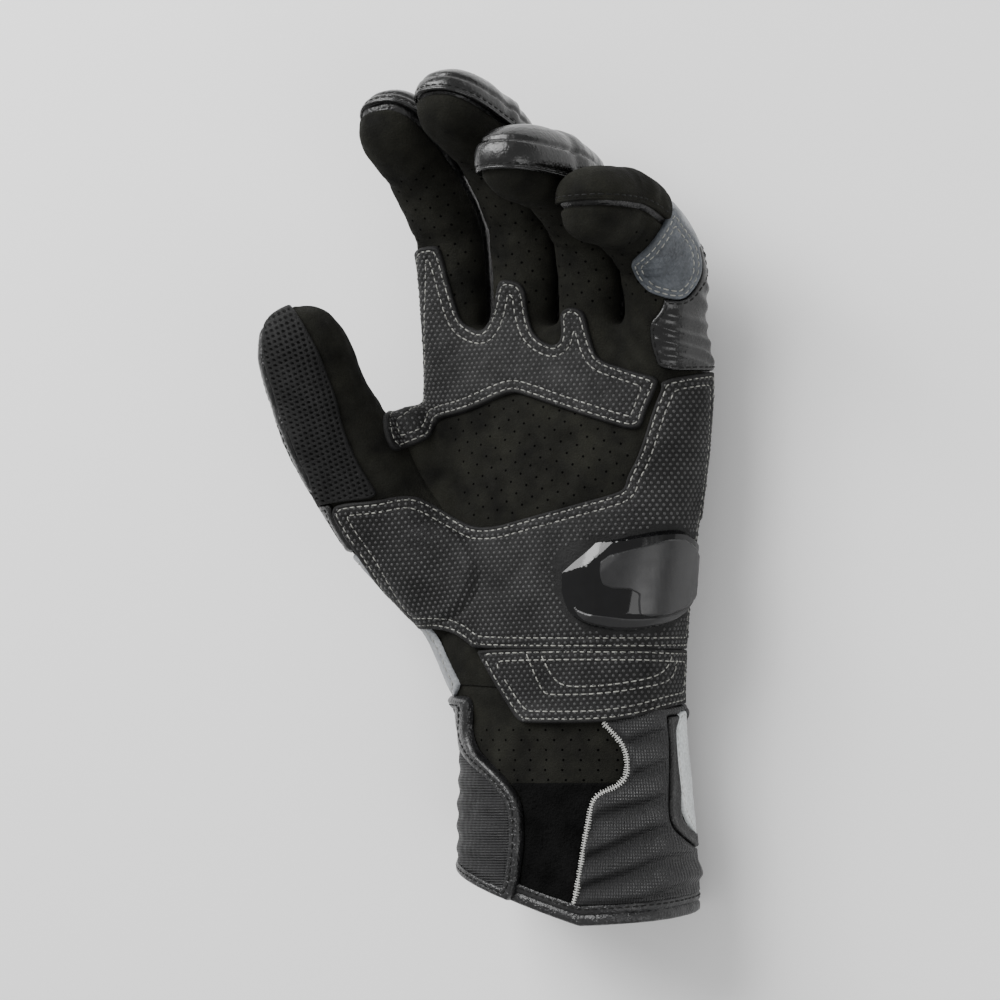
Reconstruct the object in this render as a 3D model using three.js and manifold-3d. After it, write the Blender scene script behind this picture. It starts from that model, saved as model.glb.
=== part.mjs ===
// A left-hand motorcycle glove that lies on its back, palm up, with half-curled fingers.
// Millimetres. +X is the little-finger side, +Y the way the fingers point, +Z up out of the palm.
import * as THREE from 'three';
import { mergeVertices } from 'three/addons/utils/BufferGeometryUtils.js';
import Module from 'manifold-3d';

const wasm = await Module();
wasm.setup();

// Thicknesses and gaps
const WALL = 2.4; // suede or leather with its lining
const GAP = 0.3; // between neighbouring pieces
const PANEL = 1.3; // a panel sewn on top
const FIRST_LAYER = GAP + PANEL; // outer face of a panel that lies on the shell
const CAP_LAYER = 2.2; // outer face of the padded fingertip leather over the shell
const SLIDER_HEIGHT = 5.2; // outer face of the palm slider over the shell
const FLAP_LAYER = 3.4; // outer face of the closure flap over the shell
const FLAP_FOOT = 8; // level at which the closure flap is sewn to the cuff
const KNUCKLE_HEIGHT = 6; // outer face of the knuckle pad over the shell
const KNUCKLE_PAD = { low: [-44, 14, -20], high: [50, 56, 9] }; // the block that bounds the pad
const BINDING_PROUD = 1.2; // how far the binding of the mouth stands out on both faces

// Levels and stations of the hand
const FLOOR = 0; // the back of the glove lies on this plane
const SEAM_Z = 24; // side seam between the palm and the back
const WRIST_Y = -62; // seam between the hand and the cuff
const FINGER_Y = 62; // where the panels of the hand end and those of the fingers begin
const HEM_BINDING = 7; // height of the binding round the mouth of the cuff
const BODY_SIDES = { outside: 18, inside: 12 };
const DIGIT_SIDES = { outside: 10, inside: 8 };
const SQUARENESS = 2.4; // exponent of the rounded-square sections

// Hand and cuff: centre x, half width, and the levels of the back and the palm at each station
const HAND_ROWS = [
  { y: -150, x: 10.5, half: 40.5, back: -1.5, palm: 54 },
  { y: -108, x: 8.5, half: 39, back: -1.5, palm: 52.5 },
  { y: -72, x: 6, half: 38.5, back: 0.5, palm: 50 },
  { y: -52, x: 2, half: 44, back: 3, palm: 51 },
  { y: -32, x: 2.5, half: 45.5, back: 4, palm: 52 },
  { y: -10, x: 2.5, half: 48, back: 4, palm: 50 },
  { y: 22, x: 3, half: 51.5, back: 4, palm: 44 },
  { y: 48, x: 2.5, half: 51.5, back: 6, palm: 39 },
  { y: 58, x: 2, half: 49, back: 10, palm: 37 },
];

// Fingers: knuckle, middle joint, end joint and tip; half width and half thickness at each.
// side points across the palm, and turns so that the little finger curls towards the thumb.
// capEdge is the palmar height that the leather of the fingertip reaches.
const rolled = (degrees) => new THREE.Vector3(1, 0, 0)
  .applyAxisAngle(new THREE.Vector3(0, -1, 0), THREE.MathUtils.degToRad(degrees));
const FINGERS = [
  {
    name: 'index', side: rolled(0), capEdge: 2,
    joints: [[-35.5, 14, 24], [-39, 92, 26], [-42, 114, 43], [-46, 130, 66]],
    width: [10, 12.4, 12.4, 11], thick: [10, 12.4, 12, 10.5],
  },
  {
    name: 'middle', side: rolled(4), capEdge: 2,
    joints: [[-10, 14, 24], [-9, 94, 28], [-12.5, 120.5, 47], [-19, 131.5, 76]],
    width: [10, 12.3, 12.2, 11], thick: [10, 12.4, 12, 10.5],
  },
  {
    name: 'ring', side: rolled(10), capEdge: 3,
    joints: [[15, 14, 24], [16.5, 89, 28], [15.5, 106, 52], [9.5, 107.5, 84]],
    width: [10, 12.2, 12, 11], thick: [10, 12.4, 12, 10.5],
  },
  {
    name: 'little', side: rolled(18), capEdge: -4,
    joints: [[40, 14, 24], [43, 80, 30], [40, 93.5, 54], [36, 92, 77]],
    width: [10, 12.6, 12.2, 10.5], thick: [10, 12.6, 12, 10],
  },
];
const THUMB = {
  side: new THREE.Vector3(0, 0, -1),
  joints: [[-24, -36, 28], [-54, -6, 43], [-71, 27, 56], [-80, 65, 66]],
  width: [20, 17.5, 15.5, 11.5], thick: [21, 18, 16.5, 13],
};
const KNUCKLE_BEND = 11; // length over which a joint bends, each way
const TIP_BLUNTNESS = 2.6; // exponent of the rounded fingertip

// The sewn web between the thumb and the first finger
const WEB = {
  side: new THREE.Vector3(1, 0, 0),
  joints: [[-34, -12, 32], [-46, 12, 34], [-54, 30, 35]],
  width: [14, 10, 8], thick: [15, 12, 10],
};

// The mouth of the cuff: how far it reaches down at each x
const MOUTH = [
  { x: -60, y: -117 },
  { x: 24, y: -138.6 },
  { x: 90, y: -133 },
];

// Panel outlines are drawn as the palm is seen from VIEW_DISTANCE, VIEW_TURN degrees towards the
// little finger from straight above: u to the right and v up, in millimetres round VIEW_TARGET.
const VIEW_TURN = 30;
const VIEW_DISTANCE = 950;
const VIEW_TARGET = new THREE.Vector3(-19, 0, 30);

// Where the upper overlay runs up a finger: the middle of its end, half its width there, and
// the lowest point of the round crotch that follows
const FINGER_STUBS = [
  { u: -27, v: 86.5, half: 6, crotchU: -6, crotchV: 57 },
  { u: 4.5, v: 75, half: 3.7, crotchU: 18, crotchV: 53 },
  { u: 26, v: 65, half: 3.5, crotchU: 36, crotchV: 47 },
];
const CROTCH_HALF = 4.5; // half width of the round of a crotch
const UPPER_OVERLAY_FOOT = [
  [52, 42], [50, 32], [47, 23], [34, 27], [20, 33], [5, 38.5], [-5, 35], [-22, 29],
  [-23, 21], [-34, 19.5], [-39, 29], [-34, 36],
];
const HEEL_OVERLAY = [
  [-57, -1], [-41, -0.5], [-32, 1.5], [-20, -3.5], [-5, -10], [10, -6], [35, -0.5], [41.5, 3.5],
  [48.5, 17], [53, 35], [54.5, 41], [82, 44], [82, -47], [20, -49], [-7, -48], [-19, -42.5],
  [-31, -39.5], [-41, -28], [-53, -11],
];
const THUMB_CLEAR = [[-58, 41], [-45, 41], [-40, 31], [-39.5, 20], [-58, 10]];
const WRIST_LOBE = [
  [-6.5, -50], [20, -51], [80, -48.5], [80, -64], [58, -71.5], [34, -75.5], [8.5, -75],
];
const SLIDER = [
  [21, -16], [30, -14.5], [59, -10], [63, -10.5], [66.5, -16], [65.5, -27], [62, -37],
  [56, -42.5], [45, -44.5], [28, -42.5], [22, -36.5], [20, -26],
];
const THUMB_MESH = [
  [-80, 62], [-75, 66.5], [-68, 64.5], [-62.5, 53.5], [-57, 37], [-51.5, 20.5], [-41, 1],
  [-51, 0.5], [-60.5, 0], [-71, 22], [-79, 47],
];
const OVERLAY_Z = { upper: SEAM_Z - 4, heel: SEAM_Z - 6 }; // where they end on the sides
const GREY_PATCH = [
  [58, 100], [66, 97], [73, 85], [71, 74], [62, 69], [54, 69.5], [48, 73.5], [45, 80],
  [48.5, 86], [55, 93],
];
const SIDE_LEATHER = [
  [58.5, 67.5], [66, 69.5], [76, 80], [80, 70], [80, 44.5], [55, 42.5], [51.5, 59], [56, 65],
];
const CLOSURE_FLAP = [
  [-27, -65], [-16.5, -67], [-13, -75.5], [-3, -88], [3, -95], [8, -104.5], [9, -118],
  [8, -132], [4.5, -137], [-4, -136], [-12, -131], [-28, -121],
];
const RIB_PANEL = [
  [35.5, -77], [41.5, -84], [44, -91], [43, -94.5], [34.5, -99.5], [30.5, -111], [25, -136],
  [48, -136], [80, -130], [80, -122], [64.5, -117.5], [60, -105], [59, -80], [60, -74],
];
const LOOP_PATCH = [[11, -99.5], [31.5, -99.5], [29, -114], [24.5, -136], [10.5, -133]];

// Raised folds: a run from one end to the other on the palm view, repeated down the panel
const FOLD_HEIGHT = 0.8; // above the panel that they belong to
const CUFF_FOLDS = { from: [24, -96], to: [66, -84], step: [0, -9.5], count: 5, half: 2.2 };
const LEATHER_FOLDS = { from: [48, 61], to: [82, 64], step: [0.5, -9], count: 2, half: 1.8 };

// Outline of the pale stripe on the outer side of the cuff, as y and z
const SIDE_STRIPE = [[-72, 13], [-72, 29], [-92, 30], [-108, 31], [-116, 25], [-115, 13]];

// A closed solid from vertices and triangles, turned inside out if its faces point in
function solid(vertices, triangles) {
  let volume = 0;
  const corner = (i) => new THREE.Vector3().fromArray(vertices, 3 * i);
  for (let i = 0; i < triangles.length; i += 3) {
    const [a, b, c] = triangles.slice(i, i + 3).map(corner);
    volume += a.dot(b.cross(c));
  }
  const faces = volume < 0 ? [...triangles].reverse() : triangles;
  return new wasm.Manifold(new wasm.Mesh({
    numProp: 3,
    vertProperties: new Float32Array(vertices),
    triVerts: new Uint32Array(faces),
  }));
}

// A solid through rings of points, its two ends closed with fans
function loft(rings) {
  const count = rings[0].length;
  const middles = [rings[0], rings.at(-1)].map((ring) => ring
    .reduce((sum, p) => sum.add(p), new THREE.Vector3()).divideScalar(count));
  const vertices = [...rings.flat(), ...middles].flatMap((p) => p.toArray());
  const triangles = [];
  const start = rings.length * count;
  const last = start - count;
  for (let j = 0; j < count; j++) {
    const k = (j + 1) % count;
    for (let i = 0; i < last; i += count) {
      triangles.push(i + j, i + k, i + count + k, i + j, i + count + k, i + count + j);
    }
    triangles.push(start, k, j, start + 1, last + j, last + k);
  }
  return solid(vertices, triangles);
}

// A rounded-square ring about a centre, along two half axes
function section(centre, across, up, sides) {
  const ring = [];
  for (let j = 0; j < sides; j++) {
    const angle = (2 * Math.PI * j) / sides;
    const power = (v) => Math.sign(v) * Math.abs(v) ** (2 / SQUARENESS);
    ring.push(centre.clone()
      .addScaledVector(across, power(Math.cos(angle)))
      .addScaledVector(up, power(Math.sin(angle))));
  }
  return ring;
}

function box(low, high) {
  const ring = (y) => [[low[0], low[2]], [high[0], low[2]], [high[0], high[2]], [low[0], high[2]]]
    .map(([x, z]) => new THREE.Vector3(x, y, z));
  return loft([ring(low[1]), ring(high[1])]);
}

// A prism between two like rings of any outline, its ends triangulated
function prism(low, high) {
  const normal = new THREE.Vector3();
  low.forEach((p, i) => normal.add(p.clone().sub(low[0])
    .cross(low[(i + 1) % low.length].clone().sub(low[0]))));
  const across = low[1].clone().sub(low[0]).normalize();
  const up = normal.normalize().cross(across);
  const flat = low.map((p) => new THREE.Vector2(p.dot(across), p.dot(up)));
  const count = low.length;
  const triangles = THREE.ShapeUtils.triangulateShape(flat, [])
    .flatMap(([a, b, c]) => [c, b, a, count + a, count + b, count + c]);
  for (let j = 0; j < count; j++) {
    const k = (j + 1) % count;
    triangles.push(j, k, count + k, j, count + k, count + j);
  }
  return solid([...low, ...high].flatMap((p) => p.toArray()), triangles);
}

const radians = THREE.MathUtils.degToRad;
const FAR = 400;
const above = (z) => box([-FAR, -FAR, z], [FAR, FAR, FAR]);
const alongHand = (y0, y1) => box([-FAR, y0, -FAR], [FAR, y1, FAR]);
const join = (pieces) => pieces.reduce((sum, piece) => sum.add(piece));
const sidesFor = (sides, grow) => (grow < 0 ? sides.inside : sides.outside);

// A cone from the eye through an outline of the palm view
const VIEW_REACH = 0.15; // how far the cone runs either way, as a share of the distance
function seen(outline) {
  const back = new THREE.Vector3(Math.sin(radians(VIEW_TURN)), 0, Math.cos(radians(VIEW_TURN)));
  const right = new THREE.Vector3(back.z, 0, -back.x);
  const eye = VIEW_TARGET.clone().addScaledVector(back, VIEW_DISTANCE);
  const ring = (share) => outline.map(([u, v]) => VIEW_TARGET.clone()
    .addScaledVector(right, u)
    .add(new THREE.Vector3(0, v, 0))
    .sub(eye).multiplyScalar(share).add(eye));
  return prism(ring(1 - VIEW_REACH), ring(1 + VIEW_REACH));
}

// An outline moved out by gap
function grown(outline, gap) {
  const points = outline.map(([u, v]) => new THREE.Vector2(u, v));
  const turn = Math.sign(THREE.ShapeUtils.area(points));
  return points.map((p, i) => {
    const before = points.at(i - 1);
    const after = points[(i + 1) % points.length];
    const [n, m] = [p.clone().sub(before), after.clone().sub(p)]
      .map((d) => new THREE.Vector2(d.y, -d.x).setLength(turn));
    return p.clone().addScaledVector(n.add(m), gap / (1 + n.dot(m) / 2)).toArray();
  });
}

// The stations of a digit: its joints bend over KNUCKLE_BEND, and joint counts along them
function stations(digit) {
  const points = digit.joints.map((p) => new THREE.Vector3(...p));
  const made = [{ position: points[0], joint: 0 }];
  for (let i = 1; i < points.length - 1; i++) {
    const before = points[i - 1].clone().sub(points[i]);
    const after = points[i + 1].clone().sub(points[i]);
    const share = [before, after].map((v) => Math.min(KNUCKLE_BEND / v.length(), 0.45));
    const from = points[i].clone().addScaledVector(before, share[0]);
    const to = points[i].clone().addScaledVector(after, share[1]);
    const curve = new THREE.QuadraticBezierCurve3(from, points[i], to);
    made.push(
      { position: from, joint: i - share[0] },
      { position: curve.getPoint(0.5), joint: i },
      { position: to, joint: i + share[1] },
    );
  }
  return [...made, { position: points.at(-1), joint: points.length - 1 }];
}

// Along, across and palmar directions and half sizes at each station
function frames(digit) {
  const line = stations(digit);
  return line.map((station, i) => {
    const before = line[Math.max(0, i - 1)].position;
    const after = line[Math.min(line.length - 1, i + 1)].position;
    const along = after.clone().sub(before).normalize();
    const palmar = digit.side.clone().cross(along).normalize();
    const across = along.clone().cross(palmar).normalize();
    const low = Math.min(Math.floor(station.joint), digit.width.length - 2);
    const mix = (sizes) => THREE.MathUtils.lerp(sizes[low], sizes[low + 1], station.joint - low);
    return { ...station, along, across, palmar, width: mix(digit.width), thick: mix(digit.thick) };
  });
}

// A digit grown by grow on every side, with a rounded tip
const TIP_SHARES = [0.65, 0.95];
function tube(digit, grow) {
  const line = frames(digit);
  const ring = (f, shrink, forward) => section(
    f.position.clone().addScaledVector(f.along, forward),
    f.across.clone().multiplyScalar((f.width + grow) * shrink),
    f.palmar.clone().multiplyScalar((f.thick + grow) * shrink),
    sidesFor(DIGIT_SIDES, grow),
  );
  const shoulder = line.at(-2);
  const reach = line.at(-1).position.distanceTo(shoulder.position) + grow;
  const dome = TIP_SHARES
    .map((share) => ring(shoulder, (1 - share ** TIP_BLUNTNESS) ** (1 / TIP_BLUNTNESS), reach * share));
  return loft([...line.slice(0, -1).map((f) => ring(f, 1, 0)), ...dome]);
}

// The stretch of a digit between two joints and two palmar heights, and reach beyond its sides
function slab(digit, from, to, low, high, reach) {
  const kept = frames(digit).filter((f) => f.joint >= from && f.joint <= to);
  return loft(kept.map((f, i) => {
    const past = i === kept.length - 1 ? reach : 0;
    const centre = f.position.clone().addScaledVector(f.along, past);
    const at = (a, n) => centre.clone().addScaledVector(f.across, a).addScaledVector(f.palmar, n);
    const wide = f.width + reach;
    return [at(-wide, low), at(wide, low), at(wide, high), at(-wide, high)];
  }));
}

// The body of the hand and cuff, grown by grow on every side but past the mouth
const handBody = (grow) => loft(HAND_ROWS.map((row, i) => section(
  new THREE.Vector3(row.x, row.y + (i === HAND_ROWS.length - 1 ? grow : 0), (row.back + row.palm) / 2),
  new THREE.Vector3(row.half + grow, 0, 0),
  new THREE.Vector3(0, 0, (row.palm - row.back) / 2 + grow),
  sidesFor(BODY_SIDES, grow),
)));
const handAndFingers = (grow) => join([
  handBody(grow),
  ...FINGERS.map((finger) => tube(finger, grow)),
  tube(WEB, grow),
]);
const outside = (grow) => handAndFingers(grow).add(tube(THUMB, grow)).intersect(above(FLOOR));
const band = (low, high) => outside(high).subtract(outside(low));

// What lies beyond the mouth of the cuff, with its edge moved up by lift
const pastMouth = (lift) => prism(...[-FAR, FAR].map((z) => [
  ...MOUTH.map(({ x, y }) => new THREE.Vector3(x, y + lift, z)),
  new THREE.Vector3(MOUTH.at(-1).x, -FAR, z),
  new THREE.Vector3(MOUTH[0].x, -FAR, z),
]));

// The palm side of the hand and the palmar half of each finger, shrunk by gap on every side
const SLAB_REACH = 0.8;
const PALMAR_REACH = 22;
const PALM_BLOCK = { half: 80, end: 60, top: 120 };
const palmSide = (gap) => join([
  box([-PALM_BLOCK.half, -FAR, SEAM_Z + gap], [PALM_BLOCK.half, PALM_BLOCK.end - gap, PALM_BLOCK.top]),
  ...FINGERS.map((finger) => slab(finger, 0, 3, gap, PALMAR_REACH - gap, SLAB_REACH - gap)),
]);

// Low folds over a panel
function folds({ from, to, step, count, half }, cover) {
  const runs = Array.from({ length: count }, (_, i) => {
    const [a, b] = [from, to].map(([u, v]) => [u + i * step[0], v + i * step[1]]);
    return seen([[a[0], a[1] - half], [b[0], b[1] - half], [b[0], b[1] + half], [a[0], a[1] + half]]);
  });
  return band(FIRST_LAYER - GAP, FIRST_LAYER + FOLD_HEIGHT).intersect(join(runs)).intersect(cover);
}

// Shell: the outside less the room for the hand
const room = handAndFingers(-WALL).add(tube(THUMB, -WALL)).intersect(above(FLOOR + WALL));
const handShell = handAndFingers(0).intersect(above(FLOOR)).subtract(room);
const hand = handShell.intersect(alongHand(WRIST_Y + GAP / 2, FAR));
const wholePalm = hand.intersect(palmSide(GAP / 2));
const wholeBack = hand.subtract(palmSide(-GAP / 2));
const belowFingers = alongHand(-FAR, FINGER_Y - GAP / 2);
const palmPanel = wholePalm.intersect(belowFingers);
const backPanel = wholeBack.intersect(belowFingers);
const fingerPanel = (whole, finger, i) => FINGERS.slice(0, i).reduce(
  (piece, neighbour) => piece.subtract(tube(neighbour, GAP)),
  whole.intersect(tube(finger, 0)).intersect(alongHand(FINGER_Y + GAP / 2, FAR)),
);
const cuffShell = handShell.intersect(alongHand(-FAR, WRIST_Y - GAP / 2))
  .subtract(pastMouth(HEM_BINDING + GAP));
const thumbShell = tube(THUMB, 0).subtract(room).subtract(handAndFingers(GAP));

// Panels sewn on the palm
const layer = band(GAP, FIRST_LAYER);
const overlayTop = FINGER_STUBS.flatMap(({ u, v, half, crotchU, crotchV }) => [
  [u - half, v], [u + half, v],
  [crotchU - CROTCH_HALF, crotchV + CROTCH_HALF / 2], [crotchU, crotchV],
  [crotchU + CROTCH_HALF, crotchV + CROTCH_HALF / 2],
]);
const upperOverlay = layer.intersect(seen([...overlayTop, ...UPPER_OVERLAY_FOOT]))
  .intersect(above(OVERLAY_Z.upper)).subtract(seen(THUMB_CLEAR));
const heelOverlay = layer.intersect(seen(HEEL_OVERLAY)).intersect(above(OVERLAY_Z.heel));
const wristLobe = layer.intersect(seen(WRIST_LOBE)).intersect(above(OVERLAY_Z.heel));
const slider = band(FIRST_LAYER + GAP, SLIDER_HEIGHT).intersect(seen(SLIDER))
  .intersect(above(SEAM_Z));

// Thumb: the mesh side looks up, and a leather strip covers the nail side
const THUMB_UP = { from: 0.7, low: 2, reach: 30 };
const THUMB_NAIL = { from: 1, high: -9, reach: 6 };
const DEEP = 40; // past the outside of any digit
const thumbUp = slab(
  { ...THUMB, side: new THREE.Vector3(-1, 0, 0) }, THUMB_UP.from, 3, THUMB_UP.low, DEEP, THUMB_UP.reach,
);
const thumbNail = slab(THUMB, THUMB_NAIL.from, 3, -DEEP, THUMB_NAIL.high, THUMB_NAIL.reach);
const thumbMesh = layer.intersect(seen(THUMB_MESH)).intersect(thumbUp);
const thumbBack = layer.intersect(thumbNail).subtract(seen(HEEL_OVERLAY))
  .subtract(seen(THUMB_MESH)).subtract(handAndFingers(FIRST_LAYER + GAP));

// Little finger: a grey patch and gathered leather on its outer side
const LITTLE_OUTER = { low: 1, reach: 20 };
const PATCH_BLOCK = { low: [32, 40, 12], high: [FAR, 130, 90] };
const GATHER_BLOCK = { low: [32, 40, 12], high: [FAR, 110, 60] };
const littleOuter = slab(
  { ...FINGERS[3], side: new THREE.Vector3(0, 0, -1) }, 0, 3, LITTLE_OUTER.low, DEEP, LITTLE_OUTER.reach,
);
const greyPatch = layer.intersect(seen(GREY_PATCH)).intersect(littleOuter)
  .intersect(box(PATCH_BLOCK.low, PATCH_BLOCK.high));
const sideCover = seen(SIDE_LEATHER).intersect(box(GATHER_BLOCK.low, GATHER_BLOCK.high))
  .subtract(seen(grown(GREY_PATCH, GAP)));
const sideLeather = layer.intersect(sideCover).add(folds(LEATHER_FOLDS, sideCover));

// A padded leather cap over the back and the end of each fingertip
const CAP_FROM = 1.7; // the joint count at which a cap begins
const capOf = (finger, i) => band(GAP, CAP_LAYER)
  .intersect(slab(finger, CAP_FROM, 3, -DEEP, finger.capEdge, CAP_LAYER))
  .subtract(join(FINGERS.filter((_, j) => j !== i).map((other) => tube(other, CAP_LAYER + GAP))));

// Cuff: closure flap, rib panel, loop patch, pale side stripe and the binding of the mouth
const FLAP_START = 4; // below the wrist seam
const RIB_START = 10;
const aboveBinding = above(SEAM_Z / 2).subtract(pastMouth(HEM_BINDING + GAP));
const flapCone = seen(CLOSURE_FLAP).intersect(above(FLAP_FOOT)).subtract(seen(WRIST_LOBE))
  .intersect(alongHand(-FAR, WRIST_Y - FLAP_START));
const closureFlap = band(GAP, FLAP_LAYER).intersect(flapCone).subtract(pastMouth(0));
const flapRoom = band(0, FLAP_LAYER + GAP).intersect(above(FLAP_FOOT - GAP))
  .intersect(seen(grown(CLOSURE_FLAP, GAP)));
const ribCover = seen(RIB_PANEL).intersect(aboveBinding)
  .intersect(alongHand(-FAR, WRIST_Y - RIB_START));
const ribPanel = layer.intersect(ribCover).add(folds(CUFF_FOLDS, ribCover));
const loopPatch = layer.intersect(seen(LOOP_PATCH)).intersect(aboveBinding);
const STRIPE_X = 30; // the stripe lies beyond this
const stripeCut = prism(...[STRIPE_X, FAR].map((x) => SIDE_STRIPE
  .map(([y, z]) => new THREE.Vector3(x, y, z))));
const sideStripe = layer.intersect(stripeCut).subtract(seen(RIB_PANEL)).subtract(seen(WRIST_LOBE));
const bindingInside = handBody(-WALL - BINDING_PROUD)
  .intersect(above(FLOOR + WALL + BINDING_PROUD));
const hemBinding = handBody(BINDING_PROUD).intersect(above(FLOOR)).subtract(bindingInside)
  .intersect(pastMouth(HEM_BINDING)).subtract(pastMouth(0)).subtract(flapRoom);

// The padded panel over the knuckles, on which the hand rests
const knucklePad = band(GAP, KNUCKLE_HEIGHT).intersect(box(KNUCKLE_PAD.low, KNUCKLE_PAD.high));

const MATERIALS = {
  suede: { color: 0x1c1c1b, roughness: 0.95, metalness: 0 },
  leather: { color: 0x161616, roughness: 0.5, metalness: 0 },
  grip: { color: 0x2a2a2b, roughness: 0.85, metalness: 0 },
  mesh: { color: 0x222223, roughness: 0.9, metalness: 0 },
  plastic: { color: 0x1a1a1c, roughness: 0.15, metalness: 0 },
  greyLeather: { color: 0x70757c, roughness: 0.55, metalness: 0 },
  ribbed: { color: 0x303133, roughness: 0.7, metalness: 0 },
  loop: { color: 0x121212, roughness: 1, metalness: 0 },
  pale: { color: 0xd9dcdd, roughness: 0.5, metalness: 0 },
};

// The body with the most triangles of a cut piece, without the slivers that a cut leaves
function mainBody(index, count) {
  const parent = Array.from({ length: count }, (_, i) => i);
  const root = (i) => {
    let top = i;
    while (parent[top] !== top) top = parent[top];
    parent[i] = top;
    return top;
  };
  for (let i = 0; i < index.length; i += 3) {
    parent[root(index[i])] = root(index[i + 1]);
    parent[root(index[i + 1])] = root(index[i + 2]);
  }
  const bodies = new Map();
  for (let i = 0; i < index.length; i += 3) {
    const key = root(index[i]);
    bodies.set(key, [...(bodies.get(key) ?? []), ...index.slice(i, i + 3)]);
  }
  return [...bodies.values()].sort((a, b) => b.length - a.length)[0];
}

function mesh(name, piece, material) {
  const { vertProperties, triVerts } = piece.getMesh();
  const corners = mainBody(Array.from(triVerts), vertProperties.length / 3)
    .flatMap((i) => Array.from(vertProperties.slice(3 * i, 3 * i + 3)));
  const geometry = new THREE.BufferGeometry();
  geometry.setAttribute('position', new THREE.Float32BufferAttribute(corners, 3));
  const made = new THREE.Mesh(
    mergeVertices(geometry),
    new THREE.MeshStandardMaterial(MATERIALS[material]),
  );
  made.name = name;
  return made;
}

const glove = new THREE.Group();
glove.add(
  mesh('palm_panel', palmPanel, 'suede'),
  mesh('back_panel', backPanel, 'leather'),
  ...FINGERS.flatMap((finger, i) => [
    mesh(`${finger.name}_front`, fingerPanel(wholePalm, finger, i), 'suede'),
    mesh(`${finger.name}_back`, fingerPanel(wholeBack, finger, i), 'leather'),
  ]),
  mesh('thumb_shell', thumbShell, 'suede'),
  mesh('cuff_shell', cuffShell, 'suede'),
  mesh('upper_overlay', upperOverlay, 'grip'),
  mesh('heel_overlay', heelOverlay, 'grip'),
  mesh('wrist_lobe', wristLobe, 'grip'),
  mesh('palm_slider', slider, 'plastic'),
  mesh('thumb_mesh', thumbMesh, 'mesh'),
  mesh('thumb_back', thumbBack, 'leather'),
  mesh('grey_patch', greyPatch, 'greyLeather'),
  mesh('side_leather', sideLeather, 'leather'),
  ...FINGERS.map((finger, i) => mesh(`${finger.name}_cap`, capOf(finger, i), 'leather')),
  mesh('closure_flap', closureFlap, 'ribbed'),
  mesh('rib_panel', ribPanel, 'ribbed'),
  mesh('loop_patch', loopPatch, 'loop'),
  mesh('side_stripe', sideStripe, 'pale'),
  mesh('hem_binding', hemBinding, 'leather'),
  mesh('knuckle_pad', knucklePad, 'leather'),
);

// The origin is the middle of the glove's box, on the floor
const size = new THREE.Box3().setFromObject(glove);
glove.position.set(-(size.min.x + size.max.x) / 2, -(size.min.y + size.max.y) / 2, -size.min.z);

export default glove;
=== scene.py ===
"""A left-hand motorcycle glove on its back, palm up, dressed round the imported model.

Lengths are millimetres from the drawing's origin while a surface is shaped. A mesh is made in metres
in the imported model's own frame. Outlines are pixels of the 1000 x 1000 photograph.
"""
import math

import bpy
import numpy as np
import openvdb
from mathutils import Matrix, Vector
from mathutils.bvhtree import BVHTree


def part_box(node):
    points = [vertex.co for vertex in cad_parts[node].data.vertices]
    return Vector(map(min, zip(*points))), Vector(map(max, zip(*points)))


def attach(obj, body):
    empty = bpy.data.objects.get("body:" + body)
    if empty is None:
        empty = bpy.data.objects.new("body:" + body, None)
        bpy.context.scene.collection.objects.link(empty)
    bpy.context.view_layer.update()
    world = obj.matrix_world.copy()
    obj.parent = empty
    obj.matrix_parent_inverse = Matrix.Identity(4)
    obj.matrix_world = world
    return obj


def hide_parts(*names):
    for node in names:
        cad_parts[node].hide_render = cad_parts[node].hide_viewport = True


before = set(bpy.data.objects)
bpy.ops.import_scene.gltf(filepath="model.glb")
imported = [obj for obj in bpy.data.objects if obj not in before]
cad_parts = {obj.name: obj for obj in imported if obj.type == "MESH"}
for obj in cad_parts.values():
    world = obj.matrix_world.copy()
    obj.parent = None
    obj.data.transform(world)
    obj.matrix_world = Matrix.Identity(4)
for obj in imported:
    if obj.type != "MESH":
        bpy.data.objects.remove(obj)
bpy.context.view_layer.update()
MM = 0.001

# The corner of the knuckle pad on the drawing gives the drawing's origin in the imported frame
PAD_CORNER = (-44.0, 14.0)
PAD_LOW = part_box("knuckle_pad")[0] / MM
ORIGIN = np.array([PAD_LOW.x - PAD_CORNER[0], PAD_LOW.y - PAD_CORNER[1], 0.0])

# The camera of the photograph, and the millimetres that a pixel spans at its target
VIEW_TURN = math.radians(30)
VIEW_DISTANCE = 950.0
VIEW_TARGET = np.array([-19.0, 0.0, 30.0])
PIXEL = 0.34
IMAGE = 1000
BACKWARD = np.array([math.sin(VIEW_TURN), 0.0, math.cos(VIEW_TURN)])
RIGHT = np.array([math.cos(VIEW_TURN), 0.0, -math.sin(VIEW_TURN)])
UPWARD = np.array([0.0, 1.0, 0.0])
EYE = VIEW_TARGET + VIEW_DISTANCE * BACKWARD

# The form of the hand, as on the drawing
SEAM_Z = 24.0
WRIST_Y = -62.0
FINGER_Y = 58.0
FINGER_BACK_Y = 62.0
SQUARENESS = 2.4
TIP_BLUNTNESS = 2.6
KNUCKLE_BEND = 11.0
HAND_ROWS = np.array([
    # y, centre x, half width, level of the back, level of the palm
    (-152, 10.5, 40.5, -1.5, 54),
    (-108, 8.5, 39, -1.5, 52.5),
    (-72, 6, 38.5, 0.5, 50),
    (-52, 2, 44, 3, 51),
    (-32, 2.5, 45.5, 4, 52),
    (-10, 2.5, 48, 4, 50),
    (22, 3, 51.5, 4, 44),
    (48, 2.5, 51.5, 6, 39),
    (58, 2, 49, 10, 37),
])


def rolled(degrees):
    """The direction across a finger that is rolled about its length"""
    angle = math.radians(degrees)
    return (math.cos(angle), 0.0, math.sin(angle))


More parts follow.
